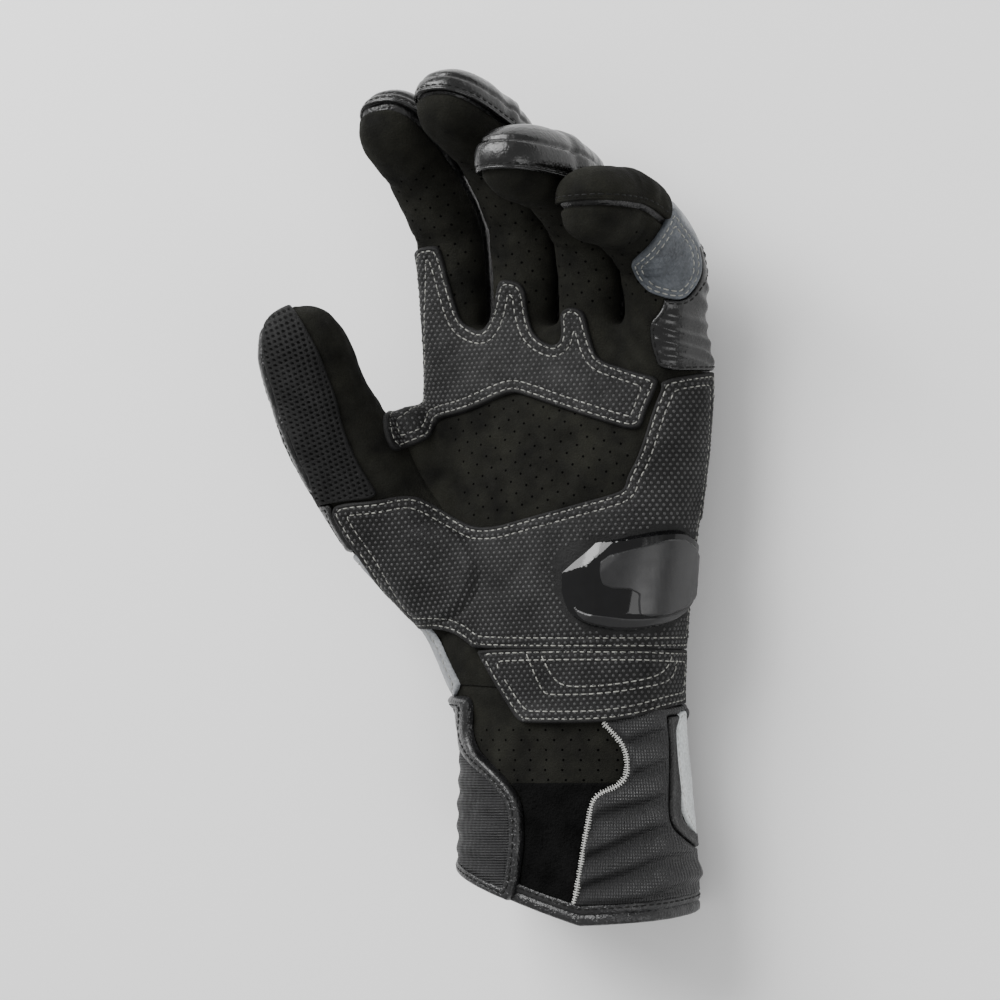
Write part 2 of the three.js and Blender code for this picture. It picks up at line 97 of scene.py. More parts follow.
# side points across a digit; joints run from the knuckle to the tip
FINGERS = (
    dict(name="index", side=rolled(0), cap_edge=-2,
         joints=((-35.5, 14, 24), (-39, 92, 26), (-42, 114, 43), (-46, 130, 66)),
         width=(10, 12.4, 12.4, 11), thick=(10, 12.4, 12, 10.5)),
    dict(name="middle", side=rolled(4), cap_edge=-0.5,
         joints=((-10, 14, 24), (-9, 94, 28), (-12.5, 120.5, 47), (-19, 131.5, 76)),
         width=(10, 12.3, 12.2, 11), thick=(10, 12.4, 12, 10.5)),
    dict(name="ring", side=rolled(10), cap_edge=3,
         joints=((15, 14, 24), (16.5, 89, 28), (15.5, 106, 52), (9.5, 107.5, 84)),
         width=(10, 12.2, 12, 11), thick=(10, 12.4, 12, 10.5)),
    dict(name="little", side=rolled(18), cap_edge=-1.5,
         joints=((40, 14, 24), (43, 80, 30), (40, 93.5, 54), (36, 92, 77)),
         width=(10, 12.6, 12.2, 10.5), thick=(10, 12.6, 12, 10)),
)
THUMB = dict(name="thumb", side=(0, 0, -1),
             joints=((-24, -36, 28), (-54, -6, 43), (-71, 27, 56), (-80, 65, 66)),
             width=(20, 17.5, 15.5, 11.5), thick=(21, 18, 16.5, 13))
WEB = dict(name="web", side=(1, 0, 0),
           joints=((-34, -12, 32), (-46, 12, 34), (-54, 30, 35)),
           width=(14, 10, 8), thick=(15, 12, 10))
# How softly the parts of the hand run into each other
BLEND = dict(fingers=1.0, knuckles=4.0, web=5.0, thumb=5.0, floor=1.5)

VOXEL = 1.0
FIELD_MARGIN = 5.0
FAR_OFF = 20.0  # distances past this are taken as this
TINY = 1e-9
LEAST_RADIUS = 1e-3


def unit(vectors):
    return vectors / np.maximum(np.linalg.norm(vectors, axis=-1, keepdims=True), TINY)


def smooth_min(a, b, reach):
    share = np.clip(0.5 + 0.5 * (b - a) / reach, 0, 1)
    return b + (a - b) * share - reach * share * (1 - share)


def smooth_step(x, low, high):
    t = np.clip((x - low) / (high - low), 0, 1)
    return t * t * (3 - 2 * t)


def bump(x, width):
    return np.exp(-((x / width) ** 2))


def blunt(a, b, power):
    """The radius of a superellipse of that power through offsets a and b"""
    return np.maximum((a ** power + b ** power) ** (1 / power), LEAST_RADIUS)


def through_rows(x, rows):
    """The columns of a table at x, along a smooth curve through its rows"""
    rows = rows[np.argsort(rows[:, 0])]
    xs, ys = rows[:, 0], rows[:, 1:]
    slopes = np.gradient(ys, xs, axis=0)
    x = np.clip(x, xs[0], xs[-1])
    i = np.clip(np.searchsorted(xs, x) - 1, 0, len(xs) - 2)
    width = xs[i + 1] - xs[i]
    t = ((x - xs[i]) / width)[:, None]
    width = width[:, None]
    return ((1 + 2 * t) * (1 - t) ** 2 * ys[i] + t * (1 - t) ** 2 * width * slopes[i]
            + t * t * (3 - 2 * t) * ys[i + 1] + t * t * (t - 1) * width * slopes[i + 1])


def line_of(digit):
    """The centre line of a digit up to the shoulder of its tip, with directions and half sizes"""
    joints = np.array(digit["joints"], float)
    points, counts = [joints[0]], [0.0]
    for i in range(1, len(joints) - 1):
        before, after = joints[i - 1] - joints[i], joints[i + 1] - joints[i]
        share = [min(KNUCKLE_BEND / np.linalg.norm(v), 0.45) for v in (before, after)]
        start, end = joints[i] + before * share[0], joints[i] + after * share[1]
        for t in np.linspace(0, 1, 5):
            points.append((1 - t) ** 2 * start + 2 * t * (1 - t) * joints[i] + t * t * end)
            counts.append(i + np.interp(t, (0, 0.5, 1), (-share[0], 0, share[1])))
    points = np.array(points)
    after = np.vstack([points[1:], joints[-1:]])
    before = np.vstack([points[:1], points[:-1]])
    before[-1] = points[-3]
    along = unit(after - before)
    palmar = unit(np.cross(np.array(digit["side"], float), along))
    at = np.arange(len(joints))
    return dict(
        centre=points, count=np.array(counts), along=along, palmar=palmar,
        across=unit(np.cross(along, palmar)),
        width=np.interp(counts, at, digit["width"]), thick=np.interp(counts, at, digit["thick"]),
        reach=float(np.linalg.norm(joints[-1] - points[-1])),
        spans=np.linalg.norm(np.diff(joints, axis=0), axis=1),
    )


def digit_field(points, line):
    """Distance to a digit's surface, joint count, and the offsets across, palmar and past its end"""
    nearest = np.full(len(points), np.inf)
    index = np.zeros(len(points), int)
    share = np.zeros(len(points))
    centre = line["centre"]
    for i in range(len(centre) - 1):
        segment = centre[i + 1] - centre[i]
        t = np.clip((points - centre[i]) @ segment / (segment @ segment), 0, 1)
        apart = ((points - centre[i] - t[:, None] * segment) ** 2).sum(1)
        better = apart < nearest
        nearest[better], index[better], share[better] = apart[better], i, t[better]

    def mixed(values):
        weight = share if values.ndim == 1 else share[:, None]
        return values[index] * (1 - weight) + values[index + 1] * weight

    offset = points - mixed(centre)
    across = (offset * mixed(line["across"])).sum(1)
    palmar = (offset * mixed(line["palmar"])).sum(1)
    past = (offset * mixed(line["along"])).sum(1)
    past[(index < len(centre) - 2) | (share < 1)] = 0
    a = np.abs(across) / mixed(line["width"])
    b = np.abs(palmar) / mixed(line["thick"])
    c = np.maximum(past, 0) / line["reach"]
    round_ = blunt(a, b, SQUARENESS)
    r = blunt(round_, c, TIP_BLUNTNESS)
    sideways = (round_ / r) ** (TIP_BLUNTNESS - 1)
    slope = np.sqrt(
        (sideways * (a / round_) ** (SQUARENESS - 1) / mixed(line["width"])) ** 2
        + (sideways * (b / round_) ** (SQUARENESS - 1) / mixed(line["thick"])) ** 2
        + ((c / r) ** (TIP_BLUNTNESS - 1) / line["reach"]) ** 2)
    return (r - 1) / slope, mixed(line["count"]) + past / line["reach"] * 0.5, across, palmar


def body_field(points):
    """Distance to the surface of the hand and cuff"""
    x0, half, back, palm = through_rows(points[:, 1], HAND_ROWS).T
    high = (palm - back) / 2
    a = np.abs(points[:, 0] - x0) / half
    b = np.abs(points[:, 2] - (palm + back) / 2) / high
    r = blunt(a, b, SQUARENESS)
    slope = np.sqrt(((a / r) ** (SQUARENESS - 1) / half) ** 2
                    + ((b / r) ** (SQUARENESS - 1) / high) ** 2)
    return -smooth_min(-(r - 1) / slope, FINGER_Y - points[:, 1], 3.0)


LINES = {digit["name"]: line_of(digit) for digit in (*FINGERS, THUMB, WEB)}


def joined(parts):
    """The distance to the hand without its thumb, and to the whole glove"""
    fingers = parts["index"]
    for name in ("middle", "ring", "little"):
        fingers = smooth_min(fingers, parts[name], BLEND["fingers"])
    hand = smooth_min(parts["body"], fingers, BLEND["knuckles"])
    hand = smooth_min(hand, parts["web"], BLEND["web"])
    return hand, smooth_min(hand, parts["thumb"], BLEND["thumb"])


def glove_field(points):
    """Distance to the whole glove's surface, its back flattened where it rests"""
    parts = {"body": body_field(points)}
    for name, line in LINES.items():
        tip = line["centre"][-1] + line["along"][-1] * line["reach"]
        corners = np.vstack([line["centre"], tip])
        near = ((points > corners.min(0) - FAR_OFF) & (points < corners.max(0) + FAR_OFF)).all(1)
        parts[name] = np.full(len(points), FAR_OFF)
        if near.any():
            parts[name][near] = digit_field(points[near], line)[0]
    return -smooth_min(-joined(parts)[1], points[:, 2], BLEND["floor"])


def glove_surface():
    """The outside of the whole glove as points and triangles"""
    corners = np.array([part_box(node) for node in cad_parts]) / MM
    low = corners.min((0, 1)) - ORIGIN - FIELD_MARGIN
    high = corners.max((0, 1)) - ORIGIN + FIELD_MARGIN
    axes = [np.arange(low[i], high[i], VOXEL) for i in range(3)]
    slabs = []
    for x in axes[0]:
        grid = np.stack(np.meshgrid([x], axes[1], axes[2], indexing="ij"), axis=-1)
        slabs.append(glove_field(grid.reshape(-1, 3)).reshape(grid.shape[:3]).astype(np.float32))
    volume = openvdb.FloatGrid(FAR_OFF)
    volume.copyFromArray(np.concatenate(slabs))
    points, quads = volume.convertToQuads(0.0)
    points = points.astype(float) * VOXEL + low
    quads = quads.astype(int)
    first = np.linalg.norm(points[quads[:, 0]] - points[quads[:, 2]], axis=1)
    second = np.linalg.norm(points[quads[:, 1]] - points[quads[:, 3]], axis=1)
    straight = (first <= second)[:, None]
    faces = np.vstack([
        np.where(straight, quads[:, [0, 1, 2]], quads[:, [0, 1, 3]]),
        np.where(straight, quads[:, [0, 2, 3]], quads[:, [1, 2, 3]])])
    corner = points[faces]
    volume_sign = np.einsum("ij,ij->i", corner[:, 0], np.cross(corner[:, 1], corner[:, 2])).sum()
    return points, faces if volume_sign > 0 else faces[:, ::-1]


class Skin:
    """A triangle mesh with values at its points, among them the normal that it grows along"""

    def __init__(self, points, faces, values):
        self.points, self.faces, self.values = points, faces, values

    def __getitem__(self, name):
        return self.values[name]

    def copy(self):
        return Skin(self.points.copy(), self.faces, {k: v.copy() for k, v in self.values.items()})

    def plus(self, **values):
        """The same skin with more values"""
        return Skin(self.points, self.faces, {**self.values, **values})

    def kept(self, faces):
        """The part made of some of the faces"""
        used, flat = np.unique(faces, return_inverse=True)
        return Skin(self.points[used], flat.reshape(-1, 3),
                    {k: v[used] for k, v in self.values.items()})

    def main(self):
        """The largest connected part"""
        label = np.arange(len(self.points))
        while True:
            low = label.copy()
            least = label[self.faces].min(1)
            for i in range(3):
                np.minimum.at(low, self.faces[:, i], least)
            low = low[low]
            if (low == label).all():
                break
            label = low
        of_face = label[self.faces[:, 0]]
        names, sizes = np.unique(of_face, return_counts=True)
        return self.kept(self.faces[of_face == names[sizes.argmax()]])


def edge_pairs(faces):
    """The points of each face's three edges, in the face's order"""
    return np.vstack([faces[:, [0, 1]], faces[:, [1, 2]], faces[:, [2, 0]]])


def point_normals(points, faces):
    corner = points[faces]
    normal = np.cross(corner[:, 1] - corner[:, 0], corner[:, 2] - corner[:, 0])
    total = np.zeros_like(points)
    for i in range(3):
        for axis in range(3):
            total[:, axis] += np.bincount(faces[:, i], normal[:, axis], len(points))
    return unit(total)


def averaged(values, faces, times):
    """Values at points, averaged with their neighbours'"""
    pairs = edge_pairs(faces)
    pairs = np.vstack([pairs, pairs[:, ::-1]])
    count = np.maximum(np.bincount(pairs[:, 0], minlength=len(values)), 1)
    columns = values.reshape(len(values), -1)
    for _ in range(times):
        mean = np.column_stack([
            np.bincount(pairs[:, 0], column[pairs[:, 1]], len(values)) / count
            for column in columns.T])
        columns = (columns + mean) / 2
    return columns.reshape(values.shape)


SNAP = 0.12  # share of an edge within which a point moves onto the cut


def cut(skin, level):
    """The skin with its faces cut where level is 0, and level at its points"""
    skin = skin.copy()
    level = level.copy()
    level[np.abs(level) < 1e-6] = 0
    edges = np.unique(np.sort(edge_pairs(skin.faces), axis=1), axis=0)
    for a, b in ((0, 1), (1, 0)):
        start, end = edges[:, a], edges[:, b]
        crossing = level[start] * level[end] < 0
        start, end = start[crossing], end[crossing]
        share = level[start] / (level[start] - level[end])
        near = share < SNAP
        start, end, share = start[near], end[near], share[near]
        start, first = np.unique(start, return_index=True)
        end, share = end[first], share[first][:, None]
        skin.points[start] += share * (skin.points[end] - skin.points[start])
        for name, values in skin.values.items():
            column = share if values.ndim > 1 else share[:, 0]
            values[start] += column * (values[end] - values[start])
        level[start] = 0
    start, end = edges[:, 0], edges[:, 1]
    crossing = level[start] * level[end] < 0
    start, end = start[crossing], end[crossing]
    share = level[start] / (level[start] - level[end])

    def mixed(values):
        weight = share[:, None] if values.ndim > 1 else share
        return np.concatenate([values, values[start] * (1 - weight) + values[end] * weight])

    count = len(skin.points)
    keys = start * count + end
    signs = np.sign(level[skin.faces]).astype(int)
    made = []

    def middle(i, j):
        low, high = np.minimum(i, j), np.maximum(i, j)
        return count + np.searchsorted(keys, low * count + high)

    whole = (signs.min(1) >= 0) | (signs.max(1) <= 0)
    made.append(skin.faces[whole])
    for k in range(3):
        order = [k, (k + 1) % 3, (k + 2) % 3]
        a, b, c = skin.faces[:, order].T
        sa, sb, sc = signs[:, order].T
        lone = (sa != 0) & (sb == -sa) & (sc == -sa)
        p, q = middle(a[lone], b[lone]), middle(a[lone], c[lone])
        made += [np.column_stack([a[lone], p, q]), np.column_stack([p, b[lone], c[lone]]),
                 np.column_stack([p, c[lone], q])]
        level_corner = (sa == 0) & (sb * sc < 0)
        p = middle(b[level_corner], c[level_corner])
        made += [np.column_stack([a[level_corner], b[level_corner], p]),
                 np.column_stack([a[level_corner], p, c[level_corner]])]
    new_level = mixed(level)
    new_level[count:] = 0
    values = {name: mixed(value) for name, value in skin.values.items()}
    values["normal"] = unit(values["normal"])
    return Skin(mixed(skin.points), np.vstack(made), values), new_level


def side(skin, level):
    """The part of the skin where level is above 0"""
    skin, level = cut(skin, level)
    return skin.kept(skin.faces[level[skin.faces].sum(1) > 0])


def refined(skin, name, levels):
    """The skin with its faces cut along levels of one of its values"""
    for at in levels:
        skin = cut(skin, skin[name] - at)[0]
    return skin


def halved(skin):
    """The skin with each face cut in four, its new points on the curve of its normals"""
    edges, found = np.unique(np.sort(edge_pairs(skin.faces), axis=1), axis=0, return_inverse=True)
    a, b = edges.T
    count, total = len(skin.points), len(skin.faces)
    ab, bc, ca = (count + found.reshape(-1)[i * total:(i + 1) * total] for i in range(3))
    apart = skin.points[b] - skin.points[a]
    normal = skin["normal"]
    lift = ((normal[a] * apart).sum(1)[:, None] * normal[a]
            - (normal[b] * apart).sum(1)[:, None] * normal[b]) / 8
    points = np.vstack([skin.points, (skin.points[a] + skin.points[b]) / 2 + lift])
    values = {k: np.concatenate([v, (v[a] + v[b]) / 2]) for k, v in skin.values.items()}
    values["normal"] = unit(values["normal"])
    i, j, k = skin.faces.T
    quarters = ((i, ab, ca), (ab, j, bc), (ca, bc, k), (ab, bc, ca))
    return Skin(points, np.vstack([np.column_stack(corners) for corners in quarters]), values)


def contours(skin, level):
    """The lines on the skin where level is 0, each as points with the values there"""
    span = level[skin.faces]
    near = skin.faces[(span.min(1) <= 0) & (span.max(1) >= 0)]
    if not len(near):
        return []
    skin = skin.plus(level=level).kept(near)
    skin, level = cut(skin, skin.values.pop("level"))
    pairs = edge_pairs(skin.faces)
    segments = np.unique(np.sort(pairs[(level[pairs] == 0).all(1)], axis=1), axis=0)
    links = {}
    for a, b in segments.tolist():
        links.setdefault(a, []).append(b)
        links.setdefault(b, []).append(a)
    found, left = [], set(links)
    ends = sorted(i for i in links if len(links[i]) == 1) + sorted(links)
    for begin in ends:
        if begin not in left:
            continue
        path = [begin]
        left.discard(begin)
        while True:
            step = next((i for i in links[path[-1]] if i in left), None)
            if step is None:
                break
            path.append(step)
            left.discard(step)
        if len(links[begin]) > 1 and len(path) > 2 and begin in links[path[-1]]:
            path.append(begin)
        if len(path) > 2:
            path = np.array(path)
            values = {name: value[path] for name, value in skin.values.items()}
            found.append(dict(points=skin.points[path], **values))
    return found


def waves(points, length, seed, count=14):
    """A smooth irregular relief between about -1 and 1, with waves of about that length"""
    chance = np.random.default_rng(seed)
    direction = unit(chance.normal(size=(count, 3))) * 2 * math.pi / length
    direction *= chance.uniform(0.7, 1.4, size=(count, 1))
    phase = chance.uniform(0, 2 * math.pi, size=count)
    return np.sin(points @ direction.T + phase).sum(1) / math.sqrt(count)


def seen(points):
    """Where points appear to the camera: millimetres right and up at the target's distance"""
    ray = points - EYE
    depth = -(ray @ BACKWARD) / VIEW_DISTANCE
    return np.column_stack([ray @ RIGHT / depth, ray @ UPWARD / depth])


def from_pixels(pixels):
    pixels = np.array(pixels, float)
    return np.column_stack([pixels[:, 0] - IMAGE / 2, IMAGE / 2 - pixels[:, 1]]) * PIXEL


def rounded(outline, times=2, closed=True):
    """An outline with its corners cut round"""
    for _ in range(times):
        after = np.roll(outline, -1, axis=0)
        pairs = np.stack([outline * 0.75 + after * 0.25, outline * 0.25 + after * 0.75], axis=1)
        pairs = pairs.reshape(-1, 2)
        outline = pairs if closed else np.vstack([outline[:1], pairs[1:-2], outline[-1:]])
    return outline


def depth_inside(places, outline):
    """How far inside an outline each place of a plane is, below 0 outside"""
    nearest = np.full(len(places), np.inf)
    odd = np.zeros(len(places), bool)
    for a, b in zip(outline, np.roll(outline, -1, axis=0)):
        edge = b - a
        t = np.clip((places - a) @ edge / (edge @ edge), 0, 1)
        nearest = np.minimum(nearest, ((places - a - t[:, None] * edge) ** 2).sum(1))
        spans = (a[1] > places[:, 1]) != (b[1] > places[:, 1])
        at = a[0] + (places[:, 1] - a[1]) / (edge[1] if edge[1] else 1e-9) * edge[0]
        odd ^= spans & (places[:, 0] < at)
    return np.where(odd, 1, -1) * np.sqrt(nearest)


def inside(uv, pixels, times=2):
    """How far inside an outline of the photograph each place is, in millimetres, below 0 outside"""
    return depth_inside(uv, rounded(from_pixels(pixels), times))


# Objects
THINNED = dict(over=9000, share=0.46)  # larger surfaces keep this share of their triangles
SHARP = 50  # degrees past which an edge is shaded as a crease


def thinned(obj):
    """The object's mesh with fewer triangles, most of them dropped where it is flat"""
    modifier = obj.modifiers.new("thin", "DECIMATE")
    modifier.ratio = THINNED["share"]
    modifier.use_collapse_triangulate = True
    dense = obj.data
    evaluated = obj.evaluated_get(bpy.context.evaluated_depsgraph_get())
    mesh = bpy.data.meshes.new_from_object(evaluated)
    obj.modifiers.clear()
    obj.data = mesh
    bpy.data.meshes.remove(dense)
    mesh.name = obj.name
    return mesh


def mesh_object(name, points, faces, uv=None, sharp=SHARP):
    """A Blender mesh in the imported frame, from points on the drawing"""
    mesh = bpy.data.meshes.new(name)
    mesh.vertices.add(len(points))
    mesh.vertices.foreach_set("co", ((points + ORIGIN) * MM).astype(np.float32).ravel())
    mesh.loops.add(faces.size)
    mesh.loops.foreach_set("vertex_index", faces.astype(np.int32).ravel())
    mesh.polygons.add(len(faces))
    mesh.polygons.foreach_set("loop_start", np.arange(0, faces.size, 3, dtype=np.int32))
    mesh.update(calc_edges=True)
    if uv is not None:
        layer = mesh.uv_layers.new(name="palm")
        layer.data.foreach_set("uv", uv[faces.ravel()].astype(np.float32).ravel())
    mesh.validate()
    obj = bpy.data.objects.new(name, mesh)
    bpy.context.scene.collection.objects.link(obj)
    if uv is not None and len(faces) > THINNED["over"]:
        mesh = thinned(obj)
    mesh.shade_smooth()
    mesh.set_sharp_from_angle(angle=math.radians(sharp))
    return obj


def finished(obj, material, replaces=()):
    """A piece with its material, on the glove's only body"""
    obj.data.materials.append(material)
    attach(obj, "root")
    if replaces:
        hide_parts(*replaces)
    return obj


def wall(name, skin, top, bottom, paint, replaces=(), sharp=SHARP):
    """A closed wall over the skin between two heights, flattened where it rests on the floor"""
    count = len(skin.points)
    points = np.vstack([skin.points + skin["normal"] * np.reshape(height, (-1, 1))
                        for height in (top, bottom)])
    points[:, 2] = np.maximum(points[:, 2], 0)
    directed = edge_pairs(skin.faces)
    keys = directed[:, 0] * count + directed[:, 1]
    twins = directed[:, 1] * count + directed[:, 0]
    a, b = directed[~np.isin(keys, twins)].T
    faces = np.vstack([
        skin.faces, skin.faces[:, ::-1] + count,
        np.column_stack([b, a, a + count]), np.column_stack([b, a + count, b + count])])
    obj = mesh_object(name, points, faces, np.vstack([skin["uv"], skin["uv"]]) * MM, sharp)
    return finished(obj, paint, replaces)


# Materials
def linear(*rgb):
    """Colour of 0 to 255, as seen in a photograph, for a shader"""
    return tuple(c / 12.92 if c <= 0.04045 else ((c + 0.055) / 1.055) ** 2.4
                 for c in (v / 255 for v in rgb)) + (1.0,)


def material(name, dark, light, rough, patch=90.0, grain=1400.0, grain_depth=0.12, pores=0.0,
             pore_depth=0.15, ribs=(), **fixed):
    """A material from the place on the object: patches of colour, grain, pores and woven ribs.
    Sizes of noise are waves to the metre, depths are millimetres."""
    made = bpy.data.materials.new(name)
    made.use_nodes = True
    nodes, links = made.node_tree.nodes, made.node_tree.links
    shader = nodes["Principled BSDF"]
    place = nodes.new("ShaderNodeTexCoord").outputs["Object"]

    def noise(scale, detail):
        texture = nodes.new("ShaderNodeTexNoise")
        texture.inputs["Scale"].default_value = scale
        texture.inputs["Detail"].default_value = detail
        links.new(place, texture.inputs["Vector"])
        return texture.outputs["Fac"]

    def spread(value, low, high, to_low, to_high):
        scaled = nodes.new("ShaderNodeMapRange")
        for at, number in enumerate((low, high, to_low, to_high), 1):
            scaled.inputs[at].default_value = number
        links.new(value, scaled.inputs[0])
        return scaled.outputs[0]

    def relief(height, depth, before):
        raised = nodes.new("ShaderNodeBump")
        raised.inputs["Distance"].default_value = depth * MM
        links.new(height, raised.inputs["Height"])
        if before is not None:
            links.new(before, raised.inputs["Normal"])
        return raised.outputs["Normal"]

    colour = nodes.new("ShaderNodeMix")
    colour.data_type = "RGBA"
    colour.inputs["A"].default_value = dark
    colour.inputs["B"].default_value = light
    links.new(spread(noise(patch, 6), 0.3, 0.7, 0, 1), colour.inputs["Factor"])
    fine = nodes.new("ShaderNodeMix")
    fine.data_type = "RGBA"
    fine.blend_type = "MULTIPLY"
    fine.inputs["Factor"].default_value = 0.6
    links.new(colour.outputs["Result"], fine.inputs["A"])
    shade = nodes.new("ShaderNodeCombineColor")
    level = spread(noise(grain, 2), 0.3, 0.7, 0.45, 1.0)
    for channel in shade.inputs:
        links.new(level, channel)
    links.new(shade.outputs[0], fine.inputs["B"])
    links.new(fine.outputs["Result"], shader.inputs["Base Color"])
    links.new(spread(noise(patch * 3, 4), 0.3, 0.7, *rough), shader.inputs["Roughness"])
    normal = relief(noise(grain, 5), grain_depth, None)
    if pores:
        cells = nodes.new("ShaderNodeTexVoronoi")
        cells.inputs["Scale"].default_value = pores
        links.new(place, cells.inputs["Vector"])
        normal = relief(spread(cells.outputs["Distance"], 0, 0.6, 1, 0), pore_depth, normal)
    for axis, pitch, depth in ribs:
        uv = nodes.new("ShaderNodeUVMap")
        uv.uv_map = "palm"
        split = nodes.new("ShaderNodeSeparateXYZ")
        links.new(uv.outputs[0], split.inputs[0])
        turned = nodes.new("ShaderNodeMath")
        turned.operation = "MULTIPLY"
        turned.inputs[1].default_value = 2 * math.pi / (pitch * MM)
        links.new(split.outputs[axis], turned.inputs[0])
        sine = nodes.new("ShaderNodeMath")
        sine.operation = "SINE"
        links.new(turned.outputs[0], sine.inputs[0])
        normal = relief(spread(sine.outputs[0], -1, 1, 0, 1), depth, normal)
    links.new(normal, shader.inputs["Normal"])
    for socket, value in fixed.items():
        shader.inputs[socket.replace("_", " ")].default_value = value
    return made


SUEDE = material("suede", linear(16, 16, 14), linear(36, 36, 31), (0.85, 1.0), grain=1800,
                 grain_depth=0.35, Specular_IOR_Level=0.12)
LEATHER = material("black_leather", linear(12, 12, 12), linear(26, 26, 26), (0.3, 0.46), grain=1100,
                   grain_depth=0.2, pores=950.0, pore_depth=0.16, Specular_IOR_Level=0.4)
GRIP = material("grip_leather", linear(21, 21, 21), linear(36, 36, 36), (0.6, 0.78), grain=1500,
                grain_depth=0.3, Specular_IOR_Level=0.2)
DOT = material("grip_dot", linear(46, 46, 46), linear(74, 74, 74), (0.45, 0.6), grain=2500,
               grain_depth=0.05, Specular_IOR_Level=0.3)
THREAD = material("thread", linear(120, 120, 115), linear(172, 172, 165), (0.6, 0.8), patch=300.0,
                  grain=3500, grain_depth=0.2)
DARK_THREAD = material("dark_thread", linear(18, 18, 18), linear(36, 36, 35), (0.6, 0.8), patch=300.0,
                       grain=3500, grain_depth=0.2, Specular_IOR_Level=0.2)
WHITE_THREAD = material("white_thread", linear(170, 170, 166), linear(215, 215, 211), (0.6, 0.8),
                        patch=300.0, grain=3500, grain_depth=0.2)
# Painted shade: the near-black of each punched hole, the shadow inside it painted onto a spot that lies on
# the surface
HOLE_SHADE = material("painted_hole_shade", linear(2, 2, 2), linear(5, 5, 5), (0.9, 1.0), Specular_IOR_Level=0.02)
PLASTIC = material("gloss_plastic", linear(8, 8, 9), linear(13, 13, 14), (0.05, 0.1), grain=300,
                   grain_depth=0.004, Specular_IOR_Level=0.35)
MESH = material("mesh_fabric", linear(16, 16, 16), linear(33, 33, 33), (0.7, 0.9), grain=2200,
                grain_depth=0.25, Specular_IOR_Level=0.2)
GREY = material("grey_leather", linear(60, 64, 69), linear(92, 97, 103), (0.4, 0.55), patch=160.0,
                grain=1200, grain_depth=0.3, pores=800.0, pore_depth=0.15, Specular_IOR_Level=0.35)
RIBBED = material("ribbed_fabric", linear(20, 20, 21), linear(40, 40, 41), (0.36, 0.52), grain=2600,
                  grain_depth=0.1, ribs=((0, 0.85, 0.4), (1, 1.1, 0.08)), Specular_IOR_Level=0.4)
BANDED = material("banded_fabric", linear(24, 24, 25), linear(40, 40, 41), (0.5, 0.7), grain=2600,
                  grain_depth=0.12, ribs=((1, 0.9, 0.3), (0, 1.3, 0.1)), Specular_IOR_Level=0.3)
LOOP = material("loop_fabric", linear(7, 7, 7), linear(22, 22, 22), (0.95, 1.0), grain=1500,
                grain_depth=0.9, Specular_IOR_Level=0.05)
PALE = material("pale_leather", linear(200, 205, 206), linear(222, 226, 226), (0.4, 0.55), grain=1100,
                grain_depth=0.15)
CAP_LEATHER = material("cap_leather", linear(7, 7, 7), linear(17, 17, 17), (0.2, 0.34), grain=700,
                       grain_depth=0.1, pores=1000.0, pore_depth=0.05, Specular_IOR_Level=0.5)
SATIN = material("satin_plastic", linear(26, 26, 27), linear(34, 34, 35), (0.3, 0.4), grain=2500,
                 grain_depth=0.01, Specular_IOR_Level=0.5)
SILVER = material("silver_leather", linear(120, 123, 126), linear(158, 161, 164), (0.4, 0.55), patch=160.0,
                  grain=1200, grain_depth=0.2, Specular_IOR_Level=0.4)
BINDING = material("binding", linear(17, 17, 18), linear(32, 32, 33), (0.28, 0.42), grain=1000,
                   grain_depth=0.2, pores=1100.0, pore_depth=0.15, Specular_IOR_Level=0.5)


# Panels sewn on the hand
SKIN_WALL = 1.8
PANEL_BOTTOM = 0.1
EDGE_ROUND = 0.9
EDGE_LEVELS = (0.2, 0.5, 0.9)  # depths at which the mesh follows the rounded edge
GROOVE = dict(deep=0.3, wide=0.45, levels=(-0.5, 0, 0.5))  # pulled in by a row of stitches


def edge_height(depth, top, bottom, round_):
    """Height of a panel at a depth inside its edge, with a rounded edge"""
    inward = np.clip(depth / round_, 0, 1)
    return bottom + (top - bottom) * (0.3 + 0.7 * np.sqrt(1 - (1 - inward) ** 2))


def panel(name, base, depth, top, paint, replaces=(), relief=None, round_=EDGE_ROUND,
          grooves=(), fine=0, bottom=PANEL_BOTTOM):
    """A panel of the skin where depth is above 0. The part that it is made of comes back."""
    piece = side(base.plus(depth=depth), depth).main()
    for _ in range(fine):
        piece = halved(piece)
    around = [at + step for at in grooves for step in GROOVE["levels"]]
    piece = refined(piece, "depth", [*(at * round_ / EDGE_ROUND for at in EDGE_LEVELS), *around])
    height = edge_height(np.maximum(piece["depth"], 0), top, bottom, round_)
    for at in grooves:
        height = height - GROOVE["deep"] * bump(piece["depth"] - at, GROOVE["wide"])
    if relief is not None:
        height = height + relief(piece)
    piece.values["height"] = height
    wall(name, piece, height, bottom, paint, replaces)
    return piece


def joined_shapes(name, shapes, paint):
    """Small shapes above the floor as one piece, where each is its points and faces"""
    shapes = [shape for shape in shapes if shape[0][:, 2].min() > 0]
    if not shapes:
        return
    counts = np.cumsum([0, *(len(points) for points, _ in shapes)])
    points = np.vstack([points for points, _ in shapes])
    faces = np.vstack([faces + start for (_, faces), start in zip(shapes, counts)])
    finished(mesh_object(name, points, faces), paint)


def ring_faces(rings, sides):
    """The faces between like rings of points, one after another"""
    made = []
    for r in range(rings - 1):
        for j in range(sides):
            k = (j + 1) % sides
            a, b, c, d = r * sides + j, r * sides + k, (r + 1) * sides + k, (r + 1) * sides + j
            made += [(a, b, c), (a, c, d)]
    return made


